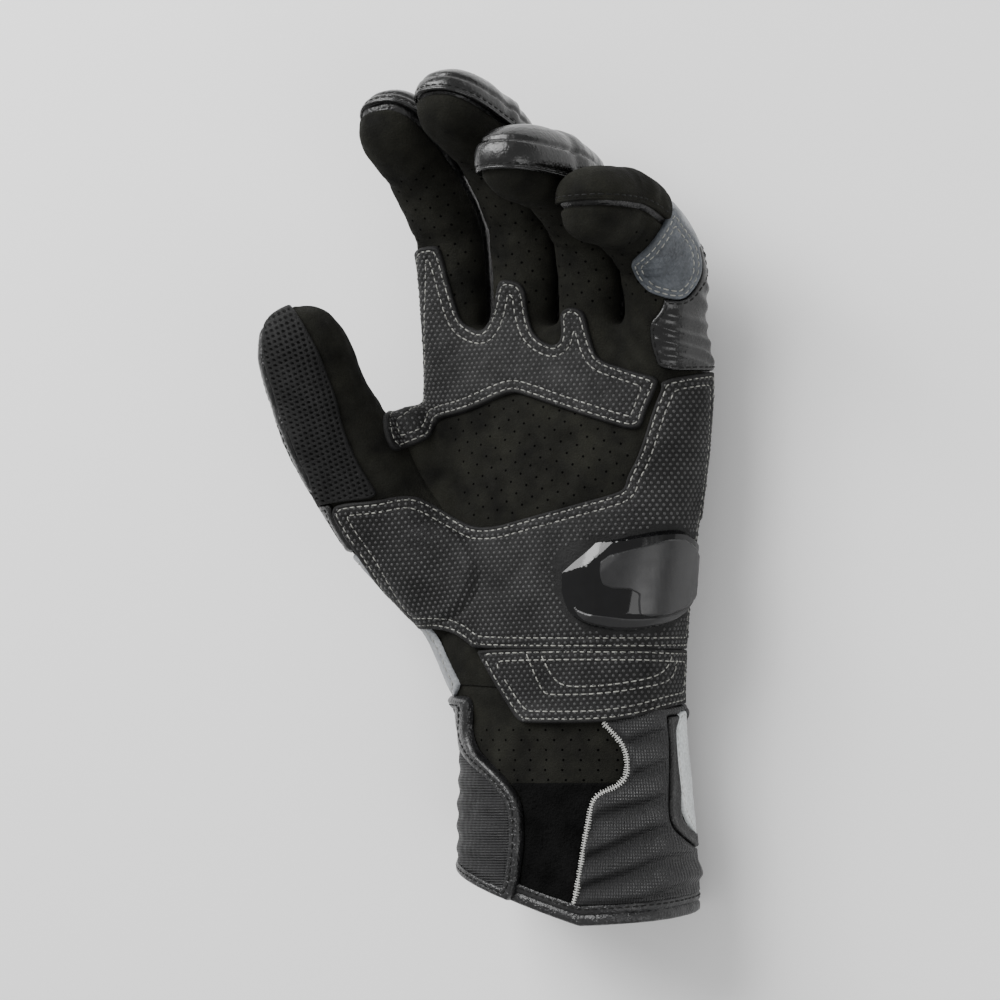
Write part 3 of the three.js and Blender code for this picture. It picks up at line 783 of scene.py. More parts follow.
def tube_shape(path, normals, radii, sides=6, flat=1.0):
    """A closed tube along a path, its two ends closed, its height flattened"""
    path, normals = np.asarray(path), unit(np.asarray(normals))
    along = unit(np.gradient(path, axis=0))
    across = unit(np.cross(along, normals))
    up = np.cross(across, along)
    angle = 2 * math.pi * np.arange(sides) / sides
    radii = np.broadcast_to(radii, len(path))[:, None, None]
    rings = (path[:, None] + across[:, None] * np.cos(angle)[None, :, None] * radii
             + up[:, None] * np.sin(angle)[None, :, None] * radii * flat)
    points = np.vstack([rings.reshape(-1, 3), path[:1], path[-1:]])
    faces = ring_faces(len(path), sides)
    last = (len(path) - 1) * sides
    for j in range(sides):
        k = (j + 1) % sides
        faces += [(k, j, len(points) - 2), (last + j, last + k, len(points) - 1)]
    return points, np.array(faces)[:, ::-1]


STITCH = dict(pitch=2.7, length=2.05, radius=0.24, lift=0.1, flat=0.75)
STITCH_FORM = np.array([
    # share of its length, rise over its line, share of its radius
    (0, -0.35, 0.6),
    (0.12, -0.05, 0.95),
    (0.5, 0.06, 1),
    (0.88, -0.05, 0.95),
    (1, -0.35, 0.6),
])
FEWEST_POINTS = 5  # a shorter line gets no stitches


def averaged_line(values, times):
    """Values along a line, averaged with their neighbours', its ends kept"""
    values = values.copy()
    for _ in range(times):
        values[1:-1] = values[1:-1] / 2 + (values[:-2] + values[2:]) / 4
    return values


def smooth_path(line, lift, times=6):
    """A line on a piece, lifted off it and smoothed, and its normals"""
    height = np.reshape(line.get("height", 0) + lift, (-1, 1))
    return averaged_line(line["points"] + line["normal"] * height, times), line["normal"]


def run_of(points):
    """How far each point of a path is along it"""
    return np.concatenate([[0], np.cumsum(np.linalg.norm(np.diff(points, axis=0), axis=1))])


def spaced(values, run, at):
    """The values of a path at distances along it, from how far each of its points is"""
    return np.column_stack([np.interp(at, run, column) for column in values.T])


def stitches(line):
    """Stitches along a line, each a short thread that dips at both ends"""
    points, normals = smooth_path(line, STITCH["lift"])
    run = run_of(points)
    evenly = np.linspace(0, run[-1], len(normals))
    share, rise, wide = STITCH_FORM.T
    made = []
    for start in np.arange(STITCH["pitch"] / 2, run[-1] - STITCH["length"], STITCH["pitch"]):
        at = start + STITCH["length"] * share
        up = unit(spaced(normals, evenly, at))
        path = spaced(points, run, at) + up * rise[:, None]
        made.append(tube_shape(path, up, wide * STITCH["radius"], 6, STITCH["flat"]))
    return made


def rows_inside(piece, depths):
    """Stitches at depths inside a panel's edge"""
    made = []
    for depth in depths:
        for line in contours(piece, piece["depth"] - depth):
            if len(line["points"]) >= FEWEST_POINTS:
                made += stitches(line)
    return made


def sewn(name, piece, depths, thread):
    """The stitches inside a panel's edge as one piece"""
    joined_shapes(name + "_stitches", rows_inside(piece, depths), thread)


def lattice(piece, row_pitch, pitch, turn, margin):
    """Staggered places on a piece, a margin inside its edge: points, normals and heights"""
    angle = math.radians(turn)
    across = piece["uv"][:, 0] * math.cos(angle) + piece["uv"][:, 1] * math.sin(angle)
    upward = piece["uv"][:, 1] * math.cos(angle) - piece["uv"][:, 0] * math.sin(angle)
    piece = piece.plus(across=across)
    found = []
    for row in range(math.ceil(upward.min() / row_pitch), math.ceil(upward.max() / row_pitch)):
        for line in contours(piece, upward - row * row_pitch):
            run = run_of(line["points"])
            facing = ((EYE - line["points"]) * line["normal"]).sum(1).argmax()
            heading = np.sign(line["across"][-1] - line["across"][0]) or 1
            phase = heading * line["across"][facing] - run[facing] + heading * (row % 2) * pitch / 2
            at = np.arange(math.ceil(phase / pitch) * pitch - phase, run[-1], pitch)
            points, normals = (spaced(line[name], run, at) for name in ("points", "normal"))
            height, depth = (np.interp(at, run, line[name]) for name in ("height", "depth"))
            near = depth > margin
            found.append((points[near], normals[near], height[near]))
    return [np.concatenate(parts) for parts in zip(*found)]


# The rings of a dome: share of its radius, share of its rise
DOME_RINGS = ((1.0, -0.05), (0.75, 0.7))


def domes(points, normals, heights, radius, rise, sides):
    """Low domes at places on a surface, as one shape"""
    normals = unit(normals)
    helper = np.where(np.abs(normals[:, :1]) > 0.8, [[0.0, 1, 0]], [[1.0, 0, 0]])
    first = unit(np.cross(normals, helper))
    second = np.cross(normals, first)
    angle = 2 * math.pi * np.arange(sides) / sides
    outward = first[:, None] * np.cos(angle)[None, :, None] + second[:, None] * np.sin(angle)[None, :, None]
    base = points + normals * heights[:, None]
    rings = [base[:, None] + normals[:, None] * (lift * rise) + outward * (radius * share)
             for share, lift in DOME_RINGS]
    top = (base + normals * rise)[:, None]
    shape = np.concatenate([*rings, top], axis=1)
    faces = ring_faces(2, sides)
    faces += [(sides + j, sides + (j + 1) % sides, 2 * sides) for j in range(sides)]
    faces += [(0, j + 1, j) for j in range(1, sides - 1)]
    starts = shape.shape[1] * np.arange(len(points))
    return shape.reshape(-1, 3), (np.array(faces)[None] + starts[:, None, None]).reshape(-1, 3)


# The skin of the whole glove
FINGER_NAMES = [finger["name"] for finger in FINGERS]
MOUTH = np.array([(-60, -117), (24, -138.6), (90, -133)])  # x, y of the cuff's mouth
FINGER_SEAM_Y = 52.0  # from here on the seam between palm and back follows the fingers
FAR_INSIDE = 50.0  # depth of a piece that has no edge to keep clear of


def glove_skin():
    """The outside of the whole glove with the values that its panels are cut by"""
    points, faces = glove_surface()
    values = {"normal": unit(averaged(point_normals(points, faces), faces, 3)), "uv": seen(points)}
    values["facing"] = (unit(EYE - points) * values["normal"]).sum(1)
    parts = {"body": body_field(points)}
    for name, line in LINES.items():
        parts[name], count, across, palmar = digit_field(points, line)
        values.update({name + "_count": count, name + "_across": across, name + "_palmar": palmar})
    values["thumb"] = joined({**parts, "thumb": parts["body"]})[0] - parts["thumb"]
    apart = np.stack([parts[name] for name in FINGER_NAMES])
    for i, name in enumerate(FINGER_NAMES):
        values["own_" + name] = np.delete(apart, i, axis=0).min(0) - apart[i]
    palmar = np.stack([values[name + "_palmar"] for name in FINGER_NAMES])
    palmar = palmar[apart.argmin(0), np.arange(len(points))]
    x, y, z = points.T
    upward = smooth_step(y, FINGER_SEAM_Y, FINGER_BACK_Y)
    values["seam"] = (z - SEAM_Z) * (1 - upward) + palmar * upward
    values["mouth"] = y - np.interp(x, MOUTH[:, 0], MOUTH[:, 1])
    values["x"], values["y"], values["z"] = x, y, z
    return Skin(points, faces, values)


def wear(points, strength=1.0):
    """Small dents and swellings that soft leather has everywhere"""
    return strength * (0.22 * waves(points, 22, 3) + 0.1 * waves(points, 7, 4))


def worn(strength):
    """The wear of a panel, as its relief"""
    return lambda piece: wear(piece.points, strength)


SEAM_GROOVE = dict(deep=0.8, wide=0.7, ridge=0.3, ridge_at=1.6, ridge_wide=0.8)


def seam_relief(seam):
    """A seam pulled in between two low ridges, at a distance from it"""
    groove = SEAM_GROOVE
    return (groove["ridge"] * bump(np.abs(seam) - groove["ridge_at"], groove["ridge_wide"])
            - groove["deep"] * bump(seam, groove["wide"]))


def shell(name, part, paint, replaces, height):
    """A wall of the glove from part of its skin"""
    part = part.plus(height=height, depth=np.full(len(height), FAR_INSIDE))
    wall(name, part, height, -SKIN_WALL, paint, replaces)
    return part


# Where a finger folds on its palm side: places along it beside a joint, and shares of the depth
CREASES = ((-3.2, 0.45), (0, 1.0), (3.4, 0.6))
CREASE = dict(deep=0.9, wide=2.0, bow=0.05, swell=0.35, swell_wide=7)


def finger_relief(part, name):
    """A finger's worn surface, with its seam and the creases at its joints"""
    line = LINES[name]
    spans = line["spans"]
    count = part[name + "_count"]
    bow = CREASE["bow"] * part[name + "_across"] ** 2 / line["width"][0]
    inner = smooth_step(part[name + "_palmar"], -2, 5)
    height = wear(part.points) + seam_relief(part["seam"])
    for joint in (1, 2):
        along = (count - joint) * np.where(count < joint, spans[joint - 1], spans[joint])
        for shift, share in CREASES:
            height = height - share * CREASE["deep"] * bump(along - shift - bow, CREASE["wide"]) * inner
        height = height + CREASE["swell"] * bump(along, CREASE["swell_wide"]) * inner
    return height


# The palm side and the back: the side of the seam, paint and slot
FACES = ((1, SUEDE, "palm_suede"), (-1, LEATHER, "black_leather"))
WRIST_GROOVE = dict(deep=0.6, wide=1.2)
THUMB_GROOVE = dict(deep=0.8, wide=0.9, palm_deep=0.5)
THUMB_SEAM = -0.4  # palmar offset of the seam along the thumb


def seam_cut(part, sign):
    """A part cut where its seam's groove bends"""
    return refined(part, "seam", (sign * 0.5, sign * 1.1))


def make_shells(skin):
    """The walls of the glove, one for each panel of the model's shell"""
    made = {}
    cuffward = side(skin, WRIST_Y - skin["y"])
    cuffward = side(cuffward, cuffward["mouth"]).main()
    made["cuff"] = shell("cuff_skin", cuffward, SUEDE, ["cuff_shell"],
                         wear(cuffward.points)
                         - WRIST_GROOVE["deep"] * bump(cuffward["y"] - WRIST_Y, WRIST_GROOVE["wide"]))
    handward = side(skin, skin["y"] - WRIST_Y).main()
    thumb = side(handward, handward["thumb"])
    thumb = refined(thumb, "thumb", (0.5, 1.2))
    made["thumb"] = shell("thumb_skin", thumb, SUEDE, ["thumb_shell"],
                          wear(thumb.points)
                          - THUMB_GROOVE["deep"] * bump(thumb["thumb"], THUMB_GROOVE["wide"])
                          + seam_relief(thumb["thumb_palmar"] - THUMB_SEAM))
    hand = side(handward, -handward["thumb"])
    palm_and_back = side(hand, FINGER_BACK_Y - hand["y"])
    for name, (sign, paint, slot) in zip(("palm", "back"), FACES):
        part = seam_cut(side(palm_and_back, sign * palm_and_back["seam"]), sign)
        made[name] = shell(name + "_skin", part, paint, [name + "_panel"],
                           wear(part.points) + seam_relief(part["seam"])
                           - THUMB_GROOVE["palm_deep"] * bump(part["thumb"], THUMB_GROOVE["wide"]))
    fingers = side(hand, hand["y"] - FINGER_BACK_Y)
    for name in FINGER_NAMES:
        own = side(fingers, fingers["own_" + name]).main()
        own = own.plus(seam=own[name + "_palmar"])
        for face, (sign, paint, slot) in zip(("front", "back"), FACES):
            part = seam_cut(side(own, sign * own["seam"]).main(), sign)
            label = f"{name}_{face}"
            made[label] = shell(label + "_skin", part, paint, [label], finger_relief(part, name))
    return made


# Outlines of the panels, in pixels of the photograph
UPPER_OVERLAY = (
    (416, 262), (417, 252), (421, 247), (438, 245), (442, 253), (448, 275), (455, 300), (460, 318),
    (467, 327), (480, 333), (487, 331), (493, 320), (497, 300), (500, 282), (505, 279), (520, 282),
    (526, 290), (528, 310), (531, 326), (538, 338), (552, 346), (560, 344), (563, 335), (562, 315),
    (567, 308), (576, 307), (585, 312), (588, 325), (593, 345), (598, 357), (605, 362), (620, 367),
    (640, 373), (660, 378), (655, 392), (646, 412), (640, 433), (600, 421), (560, 408), (521, 394),
    (512, 393), (497, 399), (480, 407), (462, 414), (440, 419), (434, 428), (430, 438), (420, 443),
    (407, 448), (393, 453), (385, 440), (382, 420), (384, 413), (395, 410), (405, 402), (413, 396),
    (416, 380),
)
HEEL_OVERLAY = (
    (660, 380), (714, 371), (740, 371), (740, 649), (690, 649), (478, 650), (470, 643), (455, 632),
    (430, 627), (411, 628), (402, 618), (390, 602), (375, 578), (358, 552), (344, 532), (332, 511),
    (338, 503), (380, 500), (393, 497), (412, 496), (434, 506), (458, 520), (484, 530), (532, 517),
    (575, 505), (614, 494), (625, 489), (627, 478), (638, 458), (647, 430), (655, 404), (662, 388),
)
WRIST_LOBE = (
    (478, 647), (740, 647), (740, 690), (688, 702), (660, 709), (640, 716), (600, 723), (530, 723),
    (520, 721), (500, 690), (480, 656),
)
LOBE_ROWS = (
    ((525, 650), (532, 668), (543, 693), (550, 695), (600, 694), (640, 688), (665, 683), (675, 675),
     (677, 655)),
    ((540, 652), (547, 668), (557, 683), (570, 687), (600, 686), (630, 682), (655, 677), (668, 668),
     (673, 652)),
)
SLIDER = (
    (560, 559), (561, 587), (567, 606), (574, 616), (586, 624), (607, 629), (631, 631), (663, 624),
    (675, 616), (686, 602), (690, 585), (694, 559), (693, 543), (682, 531), (672, 528), (638, 534),
    (619, 539), (588, 544), (568, 549),
)
THUMB_MESH = (
    (266, 325), (270, 312), (275, 306), (288, 303), (300, 318), (312, 340), (320, 355), (327, 375),
    (337, 400), (342, 425), (352, 450), (362, 470), (372, 485), (380, 498), (335, 502), (320, 505),
    (317, 500), (310, 475), (300, 458), (290, 432), (280, 410), (275, 390), (268, 370), (264, 345),
)
GREY_PATCH = (
    (670, 206), (663, 225), (650, 244), (637, 256), (631, 262), (634, 270), (641, 282), (650, 292),
    (660, 296), (669, 299), (682, 300), (692, 289), (699, 275), (699, 258), (696, 245), (690, 235),
    (680, 222),
)
SIDE_LEATHER = (
    (664, 294), (664, 304), (658, 315), (651, 322), (651, 340), (655, 355), (660, 371), (714, 371),
    (740, 371), (740, 240), (690, 240), (680, 280),
)
CLOSURE_FLAP = (
    (420, 690), (455, 690), (473, 697), (474, 715), (473, 730), (477, 745), (484, 756), (501, 772),
    (512, 785), (520, 797), (524, 810), (525, 835), (523, 860), (520, 885), (514, 899), (505, 904),
    (490, 899), (470, 889), (460, 881), (400, 850),
)
LOOP_PATCH = ((470, 783), (640, 783), (640, 925), (470, 925))
OVERLOCK = (
    (603, 722), (610, 730), (618, 738), (623, 745), (627, 755), (628, 770), (625, 780), (615, 788),
    (600, 793), (593, 800), (590, 812), (585, 840), (580, 870), (577, 890), (573, 905),
)
RIB_PANEL = (*OVERLOCK, (573, 935), (740, 935), (740, 700), (640, 700), (600, 705))
CUFF_SEAM = (
    (663, 698), (667, 740), (667, 780), (666, 812), (670, 828), (682, 839), (696, 850), (704, 850),
    (704, 838), (690, 832), (680, 822), (677, 812), (678, 780), (678, 740), (675, 698),
)
LITTLE_PALE = ((664, 199), (676, 207), (689, 226), (700, 248), (694, 250), (684, 230), (670, 210))
PALM_WINDOW = (
    (437, 428), (455, 412), (520, 388), (640, 430), (627, 480), (620, 490), (484, 527), (462, 515),
    (460, 470),
)
WRIST_WINDOW = ((470, 722), (600, 722), (622, 745), (622, 778), (590, 785), (500, 785), (478, 760))
THUMB_SEAM_STITCHES = ((435, 430), (450, 450), (459, 470), (461, 490), (464, 515))

# Outlines on the glove's two sides, as y and z on the drawing
SIDE_STRIPE = ((-70, 13), (-70, 26.5), (-92, 26.5), (-102, 25.5), (-107, 22), (-113, 14), (-112, 12))
PALE_SIDE = ((-69, 12), (-69, 42), (-52, 50), (-30, 56), (-6, 52), (4, 44), (-2, 26), (-24, 14), (-46, 10))

# Heights of the panels over the skin
PANEL_TOP = 1.6
THIN_TOP = 1.2
CAP_TOP = 2.1
SLIDER_TOP = 5.2
FLAP_TOP = 3.4
PAD_TOP = 6.0
BINDING_HIGH = 7.0
BINDING_PROUD = 1.2
GAP = 0.3  # between two panels that meet
ROWS = (1.5, 4.1)  # the two rows of stitches inside an edge
DOTS = dict(row_pitch=1.5, pitch=2.15, turn=3.0, margin=0.9, radius=0.56, rise=0.3, sides=7)
PUNCHED = dict(row_pitch=3.4, pitch=6.1, margin=0.5, radius=0.45, rise=0.06, sides=8)
WINDOW = dict(limit=0.2, reach=20)


def grip_dots(name, piece):
    points, normals, heights = lattice(piece, DOTS["row_pitch"], DOTS["pitch"], DOTS["turn"], DOTS["margin"])
    shape = domes(points, normals, heights, DOTS["radius"], DOTS["rise"], DOTS["sides"])
    joined_shapes(name, [shape], DOT)


def punched(name, piece, depth, turn=0.0):
    """Rows of small punched holes where depth is above 0, each a dark spot of painted shade that lies on the
    surface in place of an open hole
    """
    points, normals, heights = lattice(
        piece.plus(depth=depth), PUNCHED["row_pitch"], PUNCHED["pitch"], turn, PUNCHED["margin"])
    if len(points):
        shape = domes(points, normals, heights, PUNCHED["radius"], PUNCHED["rise"], PUNCHED["sides"])
        joined_shapes(name, [shape], HOLE_SHADE)


def in_sight(skin, limit, reach):
    """Depth inside the line where the skin's facing falls to a limit, and reach for a facing of 1 more"""
    return reach * (skin["facing"] - limit)


def window(piece, outline):
    """Depth inside an outline of the photograph, on the side that faces the camera"""
    return np.minimum(inside(piece["uv"], outline), in_sight(piece, WINDOW["limit"], WINDOW["reach"]))


def side_depth(skin, outline, times=1):
    """Depth inside an outline that is drawn on the glove's side as y and z"""
    return depth_inside(skin.points[:, 1:], rounded(np.array(outline, float), times))


OUTER_X = 15.0  # past this the palm's panels end at a level, and before it where they turn away
OUTER_Z = 18.0
UPPER_Z = 20.0
THENAR_PAD = dict(centre=(432, 572), radius=48, high=1.6)
THENAR_ROUND = dict(right=(-1.0, 3.2), left=(-2.0, 14), across=8, groove_at=0.8, groove=0.5, wide=0.9)
LOBE_LIFT = dict(foot=(500, 723), high=0.9, reach=8)
SLIDER_CLEARANCE = 0.5  # of the dots round the slider
PALM_LIMIT = dict(limit=0.05, reach=18)


def heel_relief(piece):
    """The padded round at the foot of the thumb, steep on its right and soft on its left"""
    edge = THENAR_ROUND
    centre = from_pixels([THENAR_PAD["centre"]])[0]
    away = np.linalg.norm(piece["uv"] - centre, axis=1) - THENAR_PAD["radius"] * PIXEL
    rightward = smooth_step(piece["uv"][:, 0] - centre[0], -edge["across"], edge["across"])
    rise = (smooth_step(-away, *edge["right"]) * rightward
            + smooth_step(-away, *edge["left"]) * (1 - rightward))
    groove = edge["groove"] * bump(away - edge["groove_at"], edge["wide"]) * rightward
    return wear(piece.points, 0.7) + THENAR_PAD["high"] * rise - groove


def lobe_relief(piece):
    """The wrist lobe stands off towards its free lower edge"""
    low = from_pixels([LOBE_LIFT["foot"]])[0][1] + LOBE_LIFT["reach"] - piece["uv"][:, 1]
    return wear(piece.points, 0.6) + LOBE_LIFT["high"] * smooth_step(low, 0, LOBE_LIFT["reach"])


def make_palm_panels(skin):
    """The three dotted panels on the palm with their dots and stitches"""
    uv = skin["uv"]
    shown = in_sight(skin, **PALM_LIMIT)
    outer = np.where(skin["x"] > OUTER_X, skin["z"] - OUTER_Z, shown)

    depth = np.minimum.reduce([inside(uv, UPPER_OVERLAY), shown, skin["z"] - UPPER_Z])
    upper = panel("upper_grip", skin, depth, PANEL_TOP, GRIP, ["upper_overlay"],
                  relief=worn(0.6), grooves=ROWS)
    grip_dots("upper_grip_dots", upper)
    sewn("upper_grip", upper, ROWS, THREAD)

    depth = np.minimum(inside(uv, HEEL_OVERLAY), outer)
    heel = panel("heel_grip", skin, depth, PANEL_TOP, GRIP, ["heel_overlay"],
                 relief=heel_relief, grooves=ROWS)
    clear = -inside(heel["uv"], SLIDER) - SLIDER_CLEARANCE
    grip_dots("heel_grip_dots", heel.plus(depth=np.minimum(heel["depth"], clear)))
    sewn("heel_grip", heel, ROWS, THREAD)

    depth = np.minimum(inside(uv, WRIST_LOBE), outer)
    lobe = panel("wrist_lobe_grip", skin, depth, PANEL_TOP, GRIP, ["wrist_lobe"],
                 relief=lobe_relief, grooves=ROWS[:1])
    rows = rows_inside(lobe, ROWS)
    for outline in LOBE_ROWS:
        rows += stitches(traced(lobe, outline))
    grip_dots("wrist_lobe_dots", lobe)
    joined_shapes("wrist_lobe_stitches", rows, THREAD)


def surface_of(piece):
    """The outer face of a piece, to cast lines onto"""
    points = piece.points + piece["normal"] * piece["height"][:, None]
    return BVHTree.FromPolygons(points.tolist(), piece.faces.tolist())


def cast(surface, uv):
    """Where places of the photograph lie on a surface: points and normals, not a number where missed"""
    found = []
    for u, v in uv:
        aim = VIEW_TARGET + u * RIGHT + v * UPWARD
        direction = unit(aim - EYE)
        place, normal, _, _ = surface.ray_cast(Vector(EYE), Vector(direction))
        if place is None:
            found.append([np.nan] * 6)
        else:
            if normal.dot(Vector(direction)) > 0:
                normal = -normal
            found.append([*place, *normal])
    found = np.array(found)
    return found[:, :3], found[:, 3:]


def traced(piece, pixels, step=0.5):
    """A line of the photograph laid on a piece"""
    line = rounded(from_pixels(pixels), 2, closed=False)
    run = run_of(line)
    points, normals = cast(surface_of(piece), spaced(line, run, np.arange(0, run[-1], step)))
    good = ~np.isnan(points[:, 0])
    return dict(points=points[good], normal=unit(averaged_line(normals[good], 12)))


# The slider's faces: a level at a pixel, and how it rises to the right and falls upwards, mm a pixel
SLIDER_LEFT = dict(at=(603, 585), level=4.8, right=0.085, up=0.0)
SLIDER_TOP_BAND = dict(at=(640, 552), level=4.8, right=0.034, up=-0.035)
SLIDER_OTHERS = (
    dict(at=(630, 613), level=4.2, right=0.0, up=0.12),
    dict(at=(680, 580), level=4.8, right=-0.12, up=0.0),
)
SLIDER_BEVEL = dict(at=(602, 562), level=4.6, right=0.12, up=-0.13)
SLIDER_RIM = 1.4
SLIDER_PLATE = (
    (603, 558), (640, 547), (672, 536), (684, 544), (691, 560), (688, 584), (681, 602), (662, 613),
    (638, 616), (636, 606), (637, 589), (606, 588), (602, 575),
)
SLIDER_LIP = (
    (572, 602), (584, 612), (606, 615), (632, 618), (660, 615), (680, 605), (668, 619), (632, 628),
    (604, 626), (584, 619),
)


def plane_over(uv, face):
    """The level of a face over places of the photograph"""
    across, upward = (uv - from_pixels([face["at"]])[0]).T / PIXEL
    return face["level"] + face["right"] * across + face["up"] * upward


def slider_level(piece):
    """Height of the slider over the skin: flat faces that meet in ridges"""
    height = np.minimum.reduce([plane_over(piece["uv"], face) for face in
                                (SLIDER_LEFT, SLIDER_TOP_BAND, SLIDER_BEVEL, *SLIDER_OTHERS)])
    rim = 1.9 + 2.4 * np.clip(piece["depth"] / SLIDER_RIM, 0, 1) - 0.9 * bump(piece["depth"], 0.25)
    return np.minimum(np.minimum(height, SLIDER_TOP - 0.6), rim)


def make_slider(skin):
    """The hard slider with its bare plate and its lower lip"""
    depth = np.minimum(inside(skin["uv"], SLIDER), skin["z"] - SEAM_Z)
    piece = halved(side(skin.plus(depth=depth), depth).main())
    piece = refined(piece, "depth", (0.3, 0.8, SLIDER_RIM))
    wall("gloss_slider", piece, slider_level(piece), PANEL_TOP - 0.3, PLASTIC,
         ["palm_slider"], sharp=14)
    for name, outline, proud in (("slider_plate", SLIDER_PLATE, 0.55), ("slider_lip", SLIDER_LIP, 0.35)):
        shape = inside(piece["uv"], outline, 1)
        part = side(piece.plus(plate=shape), shape).main()
        part = refined(part, "plate", (0.25, 0.5))
        level = slider_level(part)
        top = level + proud * np.clip(0.2 + part["plate"] / 0.5, 0.2, 1)
        wall(name, part, top, level - 0.2, SATIN, sharp=20)


MESH_HOLES = dict(turn=-24, row_pitch=1.4, pitch=2.3, high=0.52, wide=0.72, deep=0.8)
MESH_FROM = 0.7  # joint count of the thumb at which its mesh begins
MESH_LIMIT = dict(limit=-0.02, reach=30)
NAIL = dict(palmar=-9, count=1.0, off_palm=1.0)
JOINT_REACH = dict(mesh=12, nail=20, cap=22)  # millimetres taken for a joint count of 1
NAIL_ROWS = (1.5,)
HIDDEN_BONUS = 40  # a depth that lets a panel run on behind another one's outline


def mesh_holes(piece):
    """Staggered oval holes pressed into the thumb's mesh"""
    u, v = piece["uv"].T
    angle = math.radians(MESH_HOLES["turn"])
    along = u * math.cos(angle) + v * math.sin(angle)
    across = v * math.cos(angle) - u * math.sin(angle)
    row = np.round(across / MESH_HOLES["row_pitch"])
    place = along - (row % 2) * MESH_HOLES["pitch"] / 2
    off_along = place - np.round(place / MESH_HOLES["pitch"]) * MESH_HOLES["pitch"]
    off_across = across - row * MESH_HOLES["row_pitch"]
    radius = np.sqrt((off_along / MESH_HOLES["wide"]) ** 2 + (off_across / MESH_HOLES["high"]) ** 2)
    rim = smooth_step(piece["depth"], 0.6, 1.4)
    return -MESH_HOLES["deep"] * (1 - smooth_step(radius, 0.45, 0.95)) * rim + 0.4 * wear(piece.points)


def make_thumb(skin):
    """The thumb's mesh and the leather over its nail. The leather's depth comes back."""
    up = np.minimum.reduce([inside(skin["uv"], THUMB_MESH), in_sight(skin, **MESH_LIMIT),
                            JOINT_REACH["mesh"] * (skin["thumb_count"] - MESH_FROM)])
    panel("thumb_mesh_cover", skin, up, PANEL_TOP, MESH, ["thumb_mesh"],
          relief=mesh_holes, fine=2)
    off_heel = -inside(skin["uv"], HEEL_OVERLAY) + HIDDEN_BONUS * (skin["facing"] < 0) - GAP
    nail = np.minimum.reduce([
        NAIL["palmar"] - skin["thumb_palmar"], JOINT_REACH["nail"] * (skin["thumb_count"] - NAIL["count"]),
        skin["thumb"] - NAIL["off_palm"], -up - GAP, off_heel])
    back = panel("thumb_nail_leather", skin, nail, PANEL_TOP, LEATHER, ["thumb_back"],
                 relief=worn(0.7), grooves=NAIL_ROWS)
    sewn("thumb_nail", back, NAIL_ROWS, DARK_THREAD)
    return nail


CREASED = dict(pitch=2.6, high=0.16, slope=0.35)
GATHERS = dict(pitch=5.2, high=0.75, slope=-0.25, sharpness=1.6)
LITTLE_SIDE = dict(x=32, z=12, y=40)  # where the panels on the little finger's outer side begin
LITTLE_LIMIT = dict(limit=-0.5 / 18, reach=18)
GREY_ROWS = (1.4, 3.0)
SIDE_ROWS = (1.2,)


def creased(piece):
    """Fine creases across the little finger's outer side"""
    _, y, z = piece.points.T
    turn = (y + CREASED["slope"] * z + 1.5 * waves(piece.points, 18, 14)) / CREASED["pitch"]
    crease = CREASED["high"] * np.sin(turn * 2 * math.pi)
    return crease * smooth_step(piece["depth"], 1, 4) + wear(piece.points, 0.6)


def gathered(piece):
    """Folds of leather that is gathered across the same side"""
    _, y, z = piece.points.T
    turn = (y + GATHERS["slope"] * (z - SEAM_Z) + 1.2 * waves(piece.points, 24, 8)) / GATHERS["pitch"]
    fold = 0.5 + 0.5 * np.sin(turn * 2 * math.pi)
    return (GATHERS["high"] * (fold ** GATHERS["sharpness"] - 0.3) * smooth_step(piece["depth"], 0.3, 3.0)
            + wear(piece.points, 0.5))


def make_little_side(skin):
    """The grey patch, its pale neighbour and the gathered leather beside the little finger"""
    uv = skin["uv"]
    outward = skin["x"] - LITTLE_SIDE["x"]
    raised = skin["z"] - LITTLE_SIDE["z"]
    own = 3 * (skin["own_little"] + 1)
    grey = np.minimum.reduce([inside(uv, GREY_PATCH), outward, in_sight(skin, **LITTLE_LIMIT), raised, own])
    patch = panel("little_grey_patch", skin, grey, PANEL_TOP, GREY, ["grey_patch"],
                  relief=creased, grooves=GREY_ROWS, fine=1)
    sewn("little_grey", patch, GREY_ROWS, THREAD)
    pale = np.minimum.reduce([inside(uv, LITTLE_PALE), outward, -grey - 0.2, own])
    panel("little_pale_sliver", skin, pale, THIN_TOP, SILVER, round_=0.4)
    depth = np.minimum.reduce([inside(uv, SIDE_LEATHER), outward, raised, skin["y"] - LITTLE_SIDE["y"],
                               -grey - 0.25])
    leather = panel("little_side_leather", skin, depth, PANEL_TOP, CAP_LEATHER,
                    ["side_leather"], relief=gathered, fine=1)
    sewn("little_side", leather, SIDE_ROWS, DARK_THREAD)


CAP_FROM = 1.7  # joint count at which the fingertip leather begins
CAP_ROWS = (1.4,)
PIPING = dict(radius=0.62, sides=8, depth=0.35, lift=-0.3, fewest_points=20)


